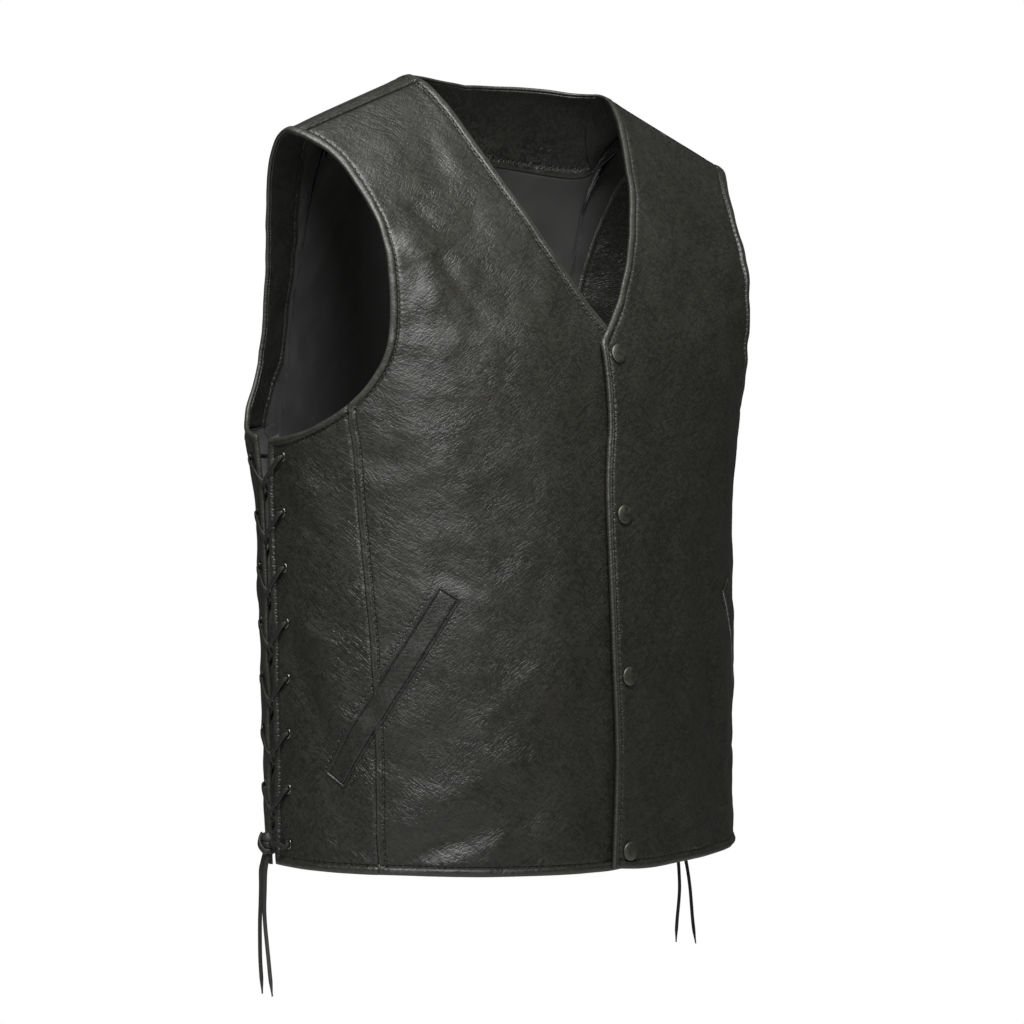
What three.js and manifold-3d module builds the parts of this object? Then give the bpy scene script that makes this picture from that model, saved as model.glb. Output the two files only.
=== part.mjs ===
// Leather vest with laced sides, hollow, in the shape it has on a wearer.
// Millimetres, +Z up. The wearer faces -Y, and +X is the wearer's left.
// The origin is midway between the shoulder tops, where the wearer's shoulders carry the vest.
//
// Every piece is drawn on a pattern and laid on one figure. A pattern place has two tape measures:
//   across  millimetres from the centre front, or the centre back, round the body
//   up      millimetres from the underarm line, up the front, over the shoulder and down the back
import * as THREE from 'three';
import { mergeVertices } from 'three/addons/utils/BufferGeometryUtils.js';
import Module from 'manifold-3d';

const wasm = await Module();
wasm.setup();

// Driving dimensions.
const LEATHER = 1.4;            // wall of the outer hide
const FACING = 1.2;             // wall of the leather facings
const LINING = 1.0;             // wall of the twill lining
const GAP = 0.3;                // air between pieces that touch
const TURNED_EDGE = 6.5;        // width of the turned and stitched edge
const TURNED_RISE = 1.0;        // how far the turned edge stands above the hide
const UNDERARM_Z = -270;        // height of the underarm line
const RIDGE = 312;              // tape from the underarm line to the top of the shoulder
const SHOULDER_SEAM = 296.5;    // the seam lies this far up, just in front of the ridge
const HEM = -341;               // tape from the underarm line down to the hem
const LAP_LIFT = 2.5;           // how far each of the lapped fronts stands off the figure
const LACING_EDGE = 320;        // tape from the centre front to the front edge of the lacing gap
const LACING_GAP = 12;          // width of the gap that the laces cross
const EYELET_INSET = 20;        // from the lacing edge to the middle of an eyelet
const EYELET_TOP = -14;         // the highest eyelet, from the underarm line
const EYELET_PITCH = 43.8;
const EYELET_COUNT = 8;
const LACE_RADIUS = 1.5;
const FACING_WIDTH = 52;
const NECK_FACING_DEPTH = 50;

// The figure: one row for each level of the body, from the hem to the top of the shoulder.
//   up           tape above the underarm line
//   rise         share of the way from the underarm height to the shoulder ridge
//   half, front, back    half width and the two depths of the section
//   frontPower, backPower    how square the section's corners are
const FIGURE = [
  { up: -341, rise: 0.00, half: 212, front: 148, back: 139, frontPower: 2.20, backPower: 2.3 },
  { up: -188, rise: 0.00, half: 214, front: 147, back: 148, frontPower: 2.15, backPower: 2.3 },
  { up: -60, rise: 0.00, half: 218, front: 141, back: 151, frontPower: 2.15, backPower: 2.3 },
  { up: 0, rise: 0.00, half: 221, front: 138, back: 149, frontPower: 2.30, backPower: 2.3 },
  { up: 64, rise: 0.21, half: 223, front: 134, back: 140, frontPower: 2.50, backPower: 2.2 },
  { up: 110, rise: 0.35, half: 227, front: 121, back: 127, frontPower: 2.95, backPower: 2.2 },
  { up: 152, rise: 0.48, half: 232, front: 106, back: 114, frontPower: 3.60, backPower: 2.2 },
  { up: 196, rise: 0.62, half: 238, front: 86, back: 102, frontPower: 5.00, backPower: 2.2 },
  { up: 240, rise: 0.77, half: 245, front: 60, back: 86, frontPower: 5.60, backPower: 2.2 },
  { up: 275, rise: 0.91, half: 249, front: 33, back: 63, frontPower: 6.00, backPower: 2.2 },
  { up: 296, rise: 0.98, half: 251, front: 13, back: 31, frontPower: 6.00, backPower: 2.3 },
  { up: 312, rise: 1.00, half: 252, front: 0, back: 0, frontPower: 6.00, backPower: 2.5 },
  { up: 328, rise: 0.98, half: 251, front: -13, back: -31, frontPower: 6.00, backPower: 2.3 },
];
const NECK_POINT = { x: 101, z: 25.5 };
const SHOULDER_POINT = { x: 228, z: -28, y: -13 };
const SECTION_STEPS = 240;

// The centre front edge: how far it passes the centre line at each height.
const PLACKET = [
  { up: -343, across: -15 }, { up: -283, across: -12 }, { up: -250, across: -11 },
  { up: -161, across: -14 }, { up: -45, across: -14.5 }, { up: 25, across: -9.5 },
  { up: 74, across: -13.2 },
];
// The neckline from the foot of the V to the centre back.
const NECKLINE = [
  { across: -13.2, up: 74 }, { across: 6, up: 98 }, { across: 20.5, up: 119 },
  { across: 44, up: 159 }, { across: 63.5, up: 200 }, { across: 80, up: 242 },
  { across: 92, up: 272 }, { across: 101, up: 298 }, { across: 101.5, up: 312 },
  { across: 92, up: 321 }, { across: 76, up: 327 }, { across: 58, up: 332 },
  { across: 30, up: 337 }, { across: 0, up: 339.5 },
];
// The armhole from the front lacing edge, over the shoulder, to the back lacing edge.
const ARMHOLE = [
  { across: 320, up: 5 }, { across: 300, up: 7.4 }, { across: 274, up: 16 },
  { across: 253.5, up: 25.4 }, { across: 234, up: 36.5 }, { across: 219, up: 49 },
  { across: 209, up: 63.5 }, { across: 202, up: 82 }, { across: 197.6, up: 107 },
  { across: 195.8, up: 137 }, { across: 195.3, up: 169 }, { across: 196.2, up: 196 },
  { across: 198.6, up: 218 }, { across: 202, up: 238 }, { across: 208, up: 257 },
  { across: 217, up: 275 }, { across: 227, up: 291 }, { across: 231, up: 303 },
  { across: 231.5, up: 315 }, { across: 229, up: 332 }, { across: 225, up: 352 },
  { across: 218, up: 386 }, { across: 211, up: 434 }, { across: 207.5, up: 484 },
  { across: 208, up: 529 }, { across: 213, up: 560 }, { across: 224, up: 584 },
  { across: 242, up: 603 }, { across: 262, up: 612 },
];
// The seam between the front and the side panel.
const SIDE_SEAM = [
  { up: -343, across: 209 }, { up: -322, across: 211 }, { up: -236, across: 212.6 },
  { up: -170, across: 215.2 }, { up: -111, across: 219.4 }, { up: -40, across: 224.5 },
  { up: 38, across: 232.2 },
];
// The hem's height on the front pieces.
const HEMLINE = [
  { across: -16, up: -340.5 }, { across: 20, up: -343 }, { across: 114, up: -341 },
  { across: 209, up: -338.5 }, { across: 320, up: -338.5 },
];

// The corner of the back below the armhole: how far it stands away, and where along the tape.
const CORNER_FLARE = { height: 8, from: [314, 346], to: [370, 440], up: 14, spread: 42 };

// Soft folds of the hide: side is 1 for the wearer's left, -1 for the right, 0 for the back.
// Each runs from one pattern place to another; lift is its height, negative for a trough.
const FOLDS = [
  { side: -1, from: [208, -305], to: [110, -252], wide: 17, lift: 5.0 },
  { side: -1, from: [110, -252], to: [62, -190], wide: 20, lift: 3.0 },
  { side: -1, from: [190, -326], to: [95, -296], wide: 12, lift: -4.5 },
  { side: -1, from: [165, -330], to: [118, -318], wide: 9, lift: 3.0 },
  { side: -1, from: [286, -170], to: [232, -300], wide: 13, lift: -3.6 },
  { side: -1, from: [262, -150], to: [228, -225], wide: 11, lift: 2.2 },
  { side: -1, from: [292, -40], to: [262, -42], wide: 12, lift: 2.6 },
  { side: -1, from: [252, -28], to: [238, -32], wide: 10, lift: -2.2 },
  { side: -1, from: [150, 205], to: [96, 118], wide: 20, lift: -3.4 },
  { side: -1, from: [176, 176], to: [158, 118], wide: 18, lift: 3.2 },
  { side: -1, from: [170, -104], to: [150, -96], wide: 14, lift: -2.6 },
  { side: -1, from: [185, 20], to: [150, -40], wide: 24, lift: 2.6 },
  { side: 1, from: [70, -40], to: [82, -250], wide: 15, lift: 3.0 },
  { side: 1, from: [104, -90], to: [112, -300], wide: 12, lift: -3.0 },
  { side: 1, from: [140, -150], to: [150, -320], wide: 15, lift: 3.2 },
  { side: 1, from: [150, 205], to: [96, 118], wide: 20, lift: -3.0 },
  { side: 1, from: [176, 176], to: [158, 118], wide: 18, lift: 2.8 },
  { side: 1, from: [26, -196], to: [74, -168], wide: 8, lift: 1.8 },
  { side: 1, from: [24, -68], to: [66, -52], wide: 8, lift: 1.6 },
  { side: 1, from: [286, -170], to: [232, -300], wide: 13, lift: -3.4 },
  { side: 1, from: [292, -40], to: [262, -42], wide: 12, lift: 2.4 },
  { side: 0, from: [-120, 820], to: [-60, 930], wide: 17, lift: 4.0 },
  { side: 0, from: [105, 800], to: [70, 925], wide: 18, lift: 4.0 },
  { side: 0, from: [-30, 850], to: [8, 940], wide: 15, lift: -3.4 },
  { side: 0, from: [-150, 560], to: [-60, 640], wide: 20, lift: -3.4 },
  { side: 0, from: [146, 548], to: [66, 652], wide: 20, lift: -3.2 },
  { side: 0, from: [-172, 500], to: [-128, 470], wide: 16, lift: 3.0 },
  { side: 0, from: [168, 506], to: [130, 468], wide: 16, lift: 3.0 },
];

const SNAP = { radius: 7.5, dome: 3.4, across: 3.2, ups: [65.5, -60.2, -188.8, -328.1] };
const HOLE_SIDES = 6;
const EYELET = { bore: 1.9, neck: 2.45, flange: 4.0, rise: 0.85, sides: 8, hole: 3.0 };
const WELT = { top: [153, -120], foot: [248, -267], width: 20, thick: 1.7 };
const KNOT_UP = -322;
const TAIL_SIDES = 8;

// Free ends of one lace, from the knot down: millimetres away from the body (out), toward the
// front (fore) and below the knot's middle (down), chosen by hand.
const TAILS = {
  right: [
    [[0.5, -2.6, 8.3], [1.4, -4.2, 15], [1.8, -6, 22], [1.4, -6.6, 34], [0.8, -8.2, 48], [0.2, -10, 62],
      [-0.6, -11.2, 78], [-0.8, -11, 94], [-0.4, -9, 108], [0.6, -6.2, 121]],
    [[1.5, 2.2, 8.4], [2.4, 1.6, 15], [2.2, -0.6, 24], [1.8, -1.6, 38], [1.6, -2.2, 52], [1.6, -1.2, 64],
      [2.4, 2.2, 78], [3.6, 6.4, 92], [4.6, 10.2, 106], [5.6, 14.4, 120]],
  ],
  left: [
    [[0.5, -1.8, 8.8], [2, 2.4, 15], [3.6, 9, 24], [4.8, 12.5, 36], [5.4, 15, 48], [5.2, 16.5, 60],
      [4.6, 17.6, 72], [3.4, 17.8, 84], [2.2, 17.4, 96], [1.4, 17, 108], [1, 17, 119]],
    [[1.5, 2.6, 8.3], [3.4, 7.2, 15], [5.6, 14.6, 24], [7.2, 19, 36], [8, 22.4, 48], [8.4, 25, 60],
      [8.6, 27, 72], [8.4, 28.8, 85], [8.2, 30.4, 97], [8.2, 32.2, 108], [8.4, 34.4, 119]],
  ],
};

const SIDES = [{ name: 'right', sign: -1 }, { name: 'left', sign: 1 }];

const clamp = (x, low, high) => Math.min(high, Math.max(low, x));
const mix = (a, b, t) => a + (b - a) * t;
function smooth(low, high, x) {
  const t = clamp((x - low) / (high - low), 0, 1);
  return t * t * (3 - 2 * t);
}

// A curve through a table's rows that never overshoots them: monotone cubic interpolation.
function slopes(xs, ys) {
  const step = xs.slice(1).map((x, i) => x - xs[i]);
  const rise = ys.slice(1).map((y, i) => (y - ys[i]) / step[i]);
  const out = [rise[0]];
  for (let i = 1; i < rise.length; i += 1) {
    if (rise[i - 1] * rise[i] <= 0) {
      out.push(0);
    } else {
      const w1 = 2 * step[i] + step[i - 1];
      const w2 = step[i] + 2 * step[i - 1];
      out.push((w1 + w2) / (w1 / rise[i - 1] + w2 / rise[i]));
    }
  }
  out.push(rise[rise.length - 1]);
  return out;
}
function curveThrough(rows, from, to) {
  const xs = rows.map((row) => row[from]);
  const ys = rows.map((row) => row[to]);
  const m = slopes(xs, ys);
  return (at) => {
    const x = clamp(at, xs[0], xs[xs.length - 1]);
    let i = 0;
    while (i < xs.length - 2 && x > xs[i + 1]) i += 1;
    const h = xs[i + 1] - xs[i];
    const u = (x - xs[i]) / h;
    return (2 * u ** 3 - 3 * u * u + 1) * ys[i] + (u ** 3 - 2 * u * u + u) * h * m[i]
      + (-2 * u ** 3 + 3 * u * u) * ys[i + 1] + (u ** 3 - u * u) * h * m[i + 1];
  };
}

const level = {};
for (const key of ['rise', 'half', 'front', 'back', 'frontPower', 'backPower']) {
  level[key] = curveThrough(FIGURE, 'up', key);
}

// The ridge bends down toward the armhole, from this far out.
const SHOULDER_DROOP = { from: 195, curve: 0.0009 };
// Height of the shoulder ridge at a distance x from the middle: level at the neck, then sloping.
const RIDGE_SLOPE = (NECK_POINT.z - SHOULDER_POINT.z) / (SHOULDER_POINT.x - NECK_POINT.x);
function ridgeHeight(x) {
  const out = Math.abs(x);
  const inside = Math.max(NECK_POINT.x - out, 0);
  const droop = SHOULDER_DROOP.curve * Math.max(out - SHOULDER_DROOP.from, 0) ** 2;
  return NECK_POINT.z - RIDGE_SLOPE * (out - NECK_POINT.x)
    - (RIDGE_SLOPE / (2 * NECK_POINT.x)) * inside ** 2 - droop;
}

// One level of the body as a closed round: a superellipse with its running length.
const sections = new Map();
function section(up) {
  const key = Math.round(up * 50);
  if (sections.has(key)) return sections.get(key);
  const at = key / 50;
  const round = { x: [0], y: [-level.front(at)], run: [0] };
  for (let i = 1; i <= SECTION_STEPS; i += 1) {
    const angle = (Math.PI * i) / SECTION_STEPS;
    const isFront = angle <= Math.PI / 2;
    const power = 2 / (isFront ? level.frontPower(at) : level.backPower(at));
    const depth = isFront ? level.front(at) : level.back(at);
    const cos = Math.cos(angle);
    round.x.push(level.half(at) * Math.abs(Math.sin(angle)) ** power);
    round.y.push(-depth * Math.sign(cos) * Math.abs(cos) ** power);
    const stride = Math.hypot(round.x[i] - round.x[i - 1], round.y[i] - round.y[i - 1]);
    round.run.push(round.run[i - 1] + stride);
  }
  sections.set(key, round);
  return round;
}
const halfGirth = (up) => section(up).run[SECTION_STEPS];

function cornerFlare(tape, up) {
  const { height, from, to, up: middle, spread } = CORNER_FLARE;
  const share = smooth(...from, tape) * (1 - smooth(...to, tape));
  return height * share * Math.exp(-(((up - middle) / spread) ** 2));
}

// The figure's surface at a pattern place. across is negative on the wearer's right.
function figure(across, up) {
  const isFront = up <= RIDGE;
  const along = isFront ? up : 2 * RIDGE - up;
  const round = section(along);
  const tape = isFront ? Math.abs(across) : round.run[SECTION_STEPS] - Math.abs(across);
  let low = 0;
  let high = SECTION_STEPS;
  while (high - low > 1) {
    const middle = (low + high) >> 1;
    if (round.run[middle] <= tape) low = middle; else high = middle;
  }
  const part = clamp((tape - round.run[low]) / Math.max(round.run[high] - round.run[low], 1e-6), -40, 40);
  const x = mix(round.x[low], round.x[high], part);
  const flare = 1 + cornerFlare(tape, along) / Math.hypot(x, 60);
  const share = level.rise(along);
  const y = mix(round.y[low], round.y[high], part) + SHOULDER_POINT.y * share * (x / SHOULDER_POINT.x) ** 2;
  const z = UNDERARM_Z + Math.min(along, 0) + share * (ridgeHeight(x) - UNDERARM_Z);
  return new THREE.Vector3(Math.sign(across || 1) * x * flare, y * flare, z);
}
function normalAt(across, up) {
  const step = 1.5;
  const acrossWay = figure(across + step, up).sub(figure(across - step, up));
  const upWay = figure(across, up + step).sub(figure(across, up - step));
  return acrossWay.cross(upWay).normalize();
}

function foldHeight(side, across, up) {
  let height = 0;
  for (const fold of FOLDS) {
    if (fold.side !== side) continue;
    const run = [fold.to[0] - fold.from[0], fold.to[1] - fold.from[1]];
    const length = Math.hypot(...run);
    const at = [across - fold.from[0], up - fold.from[1]];
    const along = clamp((at[0] * run[0] + at[1] * run[1]) / length, 0, length);
    const off = Math.hypot(at[0] - (run[0] * along) / length, at[1] - (run[1] * along) / length);
    height += fold.lift * Math.exp(-((off / fold.wide) ** 2));
  }
  return height;
}
// Where the fronts lap, the left one stands out over the right one.
function lapLift(side, across, up) {
  if (side === 0) return 0;
  return side * LAP_LIFT * (1 - smooth(20, 62, across)) * (1 - smooth(120, 200, up));
}
// A place on a piece of cloth: depth 0 is the inner face of the outer hide.
// side 0 is a piece that runs across both sides, with across negative on the wearer's right.
function clothPoint(side, across, up, depth) {
  const signed = side === 0 ? across : side * across;
  const isBack = up > RIDGE;
  const fade = smooth(0, 40, Math.abs(up - RIDGE));
  const foldSide = isBack ? 0 : (side || Math.sign(across));
  const fold = foldHeight(foldSide, isBack ? signed : Math.abs(across), up) * fade;
  const lift = depth + fold + (isBack ? 0 : lapLift(side, across, up));
  return figure(signed, up).addScaledVector(normalAt(signed, up), lift);
}

// A dense line through hand-picked places, for reading one measure from the other.
function patternLine(rows) {
  const spline = new THREE.SplineCurve(rows.map((row) => new THREE.Vector2(row.across, row.up)));
  return spline.getSpacedPoints(400);
}
function readLine(line, from, to, value) {
  const rising = line[line.length - 1][from] > line[0][from];
  let i = 0;
  while (i < line.length - 2 && (rising ? line[i + 1][from] < value : line[i + 1][from] > value)) i += 1;
  const span = line[i + 1][from] - line[i][from];
  const part = clamp((value - line[i][from]) / (span || 1e-6), 0, 1);
  return mix(line[i][to], line[i + 1][to], part);
}
const armholeLine = patternLine(ARMHOLE);
const neckLine = patternLine(NECKLINE);
const placketAt = curveThrough(PLACKET, 'up', 'across');
const seamAt = curveThrough(SIDE_SEAM, 'up', 'across');
const hemAt = curveThrough(HEMLINE, 'across', 'up');
const armholeAcross = (up) => readLine(armholeLine, 'y', 'x', up);
const armholeUp = (across) => readLine(armholeLine.slice(0, 160), 'x', 'y', across);
const neckAcross = (up) => readLine(neckLine, 'y', 'x', up);
const SEAM_TOP = armholeUp(seamAt(38));
const BACK_CORNER = ARMHOLE[ARMHOLE.length - 1].up;
const BACK_HEM = 2 * RIDGE - HEM - 1;
const BACK_CORNER_ROW = 9;
const backEdge = (up) => halfGirth(2 * RIDGE - up) - LACING_EDGE - LACING_GAP;
const frontEdge = (up) => (up < 74 ? placketAt(up) : neckAcross(up));
const frontSide = (up) => (up < SEAM_TOP ? seamAt(up) : armholeAcross(up));
const backSide = (up) => (up > BACK_CORNER ? backEdge(up) : armholeAcross(up));

// How far a pattern place lies from the nearest turned edge.
const turnedLines = {
  front: [armholeLine, neckLine, patternLine(PLACKET)],
  back: [armholeLine, neckLine],
};
function distanceTo(line, across, up) {
  let best = Infinity;
  for (let i = 0; i < line.length - 1; i += 1) {
    const [a, b] = [line[i], line[i + 1]];
    const run = [b.x - a.x, b.y - a.y];
    const at = [across - a.x, up - a.y];
    const along = clamp((at[0] * run[0] + at[1] * run[1]) / (run[0] ** 2 + run[1] ** 2), 0, 1);
    best = Math.min(best, Math.hypot(at[0] - run[0] * along, at[1] - run[1] * along));
  }
  return best;
}
function edgeDistance(across, up) {
  const isFront = up < SHOULDER_SEAM;
  const lacing = isFront ? LACING_EDGE - across : backEdge(up) - across;
  const hem = isFront ? up - hemAt(across) : BACK_HEM - up;
  const atLacing = up < 20 || up > BACK_CORNER ? lacing : Infinity;
  const lines = isFront ? turnedLines.front : turnedLines.back;
  return Math.max(0, Math.min(atLacing, hem, ...lines.map((line) => distanceTo(line, across, up))));
}
// A turned edge is folded under and stitched, so it stands above the hide and rounds off at its rim.
function turnedRise(distance) {
  const rim = 1 - smooth(0, 2, distance);
  return (TURNED_RISE - 0.5 * rim) * (1 - smooth(TURNED_EDGE - 0.5, TURNED_EDGE + 1.5, distance));
}

// Stops across a turned edge, and the stops of a run between two ends.
const TURNED_STOPS = [0, TURNED_EDGE, TURNED_EDGE + 1.8];
const TURNED_END = TURNED_STOPS.length - 1;
function between(from, to, cells) {
  return Array.from({ length: cells - 1 }, (_, i) => mix(from, to, (i + 1) / cells));
}

// The pattern of one front and its side panel, as rows of places from the hem to the shoulder.
// The lower rows cross the seam, and the upper rows end at the armhole.
const FRONT_CELLS = 4;
const SIDE_CELLS = 2;
const LOWER_CELLS = 10;
const UPPER_CELLS = 10;
function frontPattern() {
  const grid = [];
  const heights = (low, high) => {
    const start = TURNED_STOPS.map((d) => low + d);
    const end = TURNED_STOPS.map((d) => high - d).reverse();
    return [...start, ...between(start[TURNED_END], end[0], LOWER_CELLS), ...end];
  };
  const acrossStops = (up) => {
    const left = frontEdge(up);
    const right = frontSide(up);
    const start = [...TURNED_STOPS, FACING_WIDTH * 0.55, FACING_WIDTH].map((d) => left + d);
    const end = TURNED_STOPS.map((d) => right - d).reverse();
    return [...start, ...between(start[start.length - 1], end[0], FRONT_CELLS), ...end];
  };
  const rowCount = heights(0, 1).length;
  for (let i = 0; i < rowCount; i += 1) {
    const seamUp = Math.min(heights(hemAt(SIDE_SEAM[0].across), SEAM_TOP)[i], SEAM_TOP - 0.01);
    const front = acrossStops(seamUp).map((across) => [across, heights(hemAt(across), SEAM_TOP)[i]]);
    const sideColumns = sideStops(seamAt(seamUp)).slice(1);
    const side = sideColumns.map((across) => [across, heights(hemAt(across), armholeUp(across))[i]]);
    grid.push([...front, ...side]);
  }
  for (let i = 1; i <= UPPER_CELLS; i += 1) {
    const up = mix(SEAM_TOP, SHOULDER_SEAM, (i / UPPER_CELLS) ** 1.25);
    grid.push(acrossStops(up).map((across) => [across, up]));
  }
  const seamColumn = grid[grid.length - 1].length - 1;
  return { grid, lowerRows: rowCount - 1, seamColumn, facingColumn: TURNED_END + 2 };
}
function sideStops(seam) {
  const edge = TURNED_STOPS.map((d) => LACING_EDGE - d).reverse();
  const liningEnd = LACING_EDGE - FACING_WIDTH;
  return [seam, ...between(seam, liningEnd, SIDE_CELLS), liningEnd, LACING_EDGE - EYELET_INSET, ...edge];
}

// The pattern of the back, from the hem up over both shoulders to the seams in front of the ridge.
//   share    how far out the column runs, as a share of the panel's half width
//   across, up    where the column meets the neckline
const NECK_COLUMNS = [
  { share: 0, across: 0, up: 339.5 }, { share: 0.1, across: 23, up: 338.1 },
  { share: 0.2, across: 46, up: 334.6 }, { share: 0.3, across: 69, up: 329.2 },
  { share: 0.37, across: 85, up: 324 }, { share: 0.41, across: 96, up: 318.4 },
  { share: 0.455, across: 101.4, up: 311 }, { share: 0.5, across: 100.7, up: SHOULDER_SEAM },
];
const BACK_ROW_CELLS = 12;
function backPattern() {
  const outer = [FACING_WIDTH, EYELET_INSET, ...TURNED_STOPS.slice().reverse()];
  const half = (upFrom, v) => {
    const side = backSide(upFrom);
    const columns = NECK_COLUMNS.map(({ share, across }) => mix(share * side, across, v * v));
    const last = columns[columns.length - 1];
    return [...columns, (last + side - FACING_WIDTH) / 2, ...outer.map((d) => side - d)];
  };
  const tops = [
    ...NECK_COLUMNS.map(({ up }) => up),
    ...Array(outer.length + 1).fill(SHOULDER_SEAM),
  ];
  const rows = (top) => {
    const low = TURNED_STOPS.map((d) => BACK_HEM - d);
    const depths = [NECK_FACING_DEPTH, NECK_FACING_DEPTH * 0.5, ...TURNED_STOPS.slice().reverse()];
    const high = depths.map((d) => top + d);
    return [...low, ...between(low[TURNED_END], high[0], BACK_ROW_CELLS), ...high];
  };
  const rowCount = rows(0).length;
  const grid = [];
  for (let i = 0; i < rowCount; i += 1) {
    const columns = half(rows(SHOULDER_SEAM)[i], i / (rowCount - 1));
    const right = columns.map((across, j) => [across, rows(tops[j])[i]]);
    const left = right.slice(1).reverse().map(([across, up]) => [-across, up]);
    grid.push([...left, ...right]);
  }
  return { grid, middle: tops.length - 1 };
}

function closedBody(points, triangles) {
  const used = [...new Set(triangles.flat())];
  const place = new Map(used.map((index, i) => [index, i]));
  let volume = 0;
  for (const [a, b, c] of triangles) {
    volume += points[a].dot(points[b].clone().cross(points[c])) / 6;
  }
  const geometry = new THREE.BufferGeometry();
  const positions = used.flatMap((index) => points[index].toArray());
  geometry.setAttribute('position', new THREE.Float32BufferAttribute(positions, 3));
  const order = triangles.flatMap(([a, b, c]) => (volume > 0 ? [a, b, c] : [a, c, b]));
  geometry.setIndex(order.map((index) => place.get(index)));
  return geometry;
}

// A piece of cloth: the cells of a pattern that keep(row, column) chooses, as a closed wall.
// Its rim is drawn in by half the gap, so that pieces cut along the same line don't touch.
// Cells from the column flipFrom on are split along their other diagonal, so that a piece that runs
// across both sides of the body is its own mirror image.
function clothPiece({ side, grid, keep, depth, thick, turned, flipFrom = Infinity }) {
  const rows = grid.length;
  const columns = Math.max(...grid.map((row) => row.length));
  const kept = (i, j) => i >= 0 && j >= 0 && i < rows - 1 && j < grid[i].length - 1
    && j < grid[i + 1].length - 1 && keep(i, j);
  const points = [];
  const index = new Map();
  const vertex = (i, j, layer) => {
    const key = (i * columns + j) * 2 + layer;
    if (index.has(key)) return index.get(key);
    let acrossPull = 0;
    let upPull = 0;
    let cells = 0;
    for (const [di, dj] of [[0, 0], [0, -1], [-1, 0], [-1, -1]]) {
      if (!kept(i + di, j + dj)) continue;
      cells += 1;
      acrossPull += dj === 0 ? 1 : -1;
      upPull += di === 0 ? 1 : -1;
    }
    const trim = cells === 4 ? 0 : GAP / 2;
    const rowWay = Math.sign(grid[rows - 1][0][1] - grid[0][0][1]);
    const across = grid[i][j][0] + Math.sign(acrossPull) * trim;
    const up = grid[i][j][1] + Math.sign(upPull) * trim * rowWay;
    const rise = turned ? turnedRise(edgeDistance(Math.abs(grid[i][j][0]), grid[i][j][1])) : 0;
    points.push(clothPoint(side, across, up, depth + (layer ? thick + rise : 0)));
    index.set(key, points.length - 1);
    return points.length - 1;
  };
  const triangles = [];
  const quad = (a, b, c, d) => triangles.push([a, b, c], [a, c, d]);
  for (let i = 0; i < rows - 1; i += 1) {
    for (let j = 0; j < columns - 1; j += 1) {
      if (!kept(i, j)) continue;
      const corner = [[i, j], [i, j + 1], [i + 1, j + 1], [i + 1, j]];
      const turn = j >= flipFrom ? 1 : 0;
      const [a, b, c, d] = [0, 1, 2, 3].map((k) => vertex(...corner[(k + turn) % 4], 1));
      quad(a, b, c, d);
      const [p, q, r, s] = [0, 1, 2, 3].map((k) => vertex(...corner[(k + turn) % 4], 0));
      triangles.push([p, r, q], [p, s, r]);
      const neighbours = [[i - 1, j], [i, j + 1], [i + 1, j], [i, j - 1]];
      neighbours.forEach(([ni, nj], k) => {
        if (kept(ni, nj)) return;
        const [start, end] = [corner[k], corner[(k + 1) % 4]];
        quad(vertex(...start, 0), vertex(...end, 0), vertex(...end, 1), vertex(...start, 1));
      });
    }
  }
  return closedBody(points, triangles);
}

// Merges a geometry's shared points and drops triangles that have no area.
function merged(geometry) {
  const bare = new THREE.BufferGeometry();
  bare.setAttribute('position', geometry.getAttribute('position'));
  bare.setIndex(geometry.index);
  const joined = mergeVertices(bare, 1e-4);
  const kept = [];
  for (let i = 0; i < joined.index.count; i += 3) {
    const [a, b, c] = [0, 1, 2].map((k) => joined.index.getX(i + k));
    if (a !== b && b !== c && c !== a) kept.push(a, b, c);
  }
  joined.setIndex(kept);
  return joined;
}
function toSolid(geometry) {
  return new wasm.Manifold(new wasm.Mesh({
    numProp: 3,
    vertProperties: new Float32Array(geometry.getAttribute('position').array),
    triVerts: new Uint32Array(geometry.index.array),
  }));
}
function fromSolid(solid) {
  const mesh = solid.getMesh();
  const geometry = new THREE.BufferGeometry();
  geometry.setAttribute('position', new THREE.Float32BufferAttribute(mesh.vertProperties, 3));
  geometry.setIndex(Array.from(mesh.triVerts));
  return geometry;
}
// Turns a shape that stands along +Y so that it stands out from the cloth at a pattern place.
function standOn(geometry, side, across, up, depth) {
  const out = normalAt(side * across, up);
  const turn = new THREE.Quaternion().setFromUnitVectors(new THREE.Vector3(0, 1, 0), out);
  const place = clothPoint(side, across, up, depth);
  return geometry.applyQuaternion(turn).translate(place.x, place.y, place.z);
}
// The height of a panel's outer face above its inner one, read off the finished panels.
const CAST_FROM = 20;
const caster = new THREE.Raycaster();
caster.far = 2 * CAST_FROM;
function faceHeight(panels, side, across, up) {
  const out = normalAt(side * across, up);
  const base = clothPoint(side, across, up, 0);
  caster.set(base.clone().addScaledVector(out, CAST_FROM), out.clone().negate());
  const hit = caster.intersectObjects(panels)[0];
  return hit ? CAST_FROM - hit.distance : LEATHER;
}
// The highest face under a small round place, so that what is set there clears it all over.
function seatDepth(panels, side, across, up, reach) {
  const spots = [[0, 0]];
  for (let k = 0; k < 8; k += 1) {
    spots.push([reach * Math.cos((Math.PI * k) / 4), reach * Math.sin((Math.PI * k) / 4)]);
  }
  return Math.max(...spots.map(([a, b]) => faceHeight(panels, side, across + a, up + b)));
}
function turnedShape(profile, sides) {
  const points = profile.map(([radius, height]) => new THREE.Vector2(radius, height));
  return merged(new THREE.LatheGeometry(points, sides));
}

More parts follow.
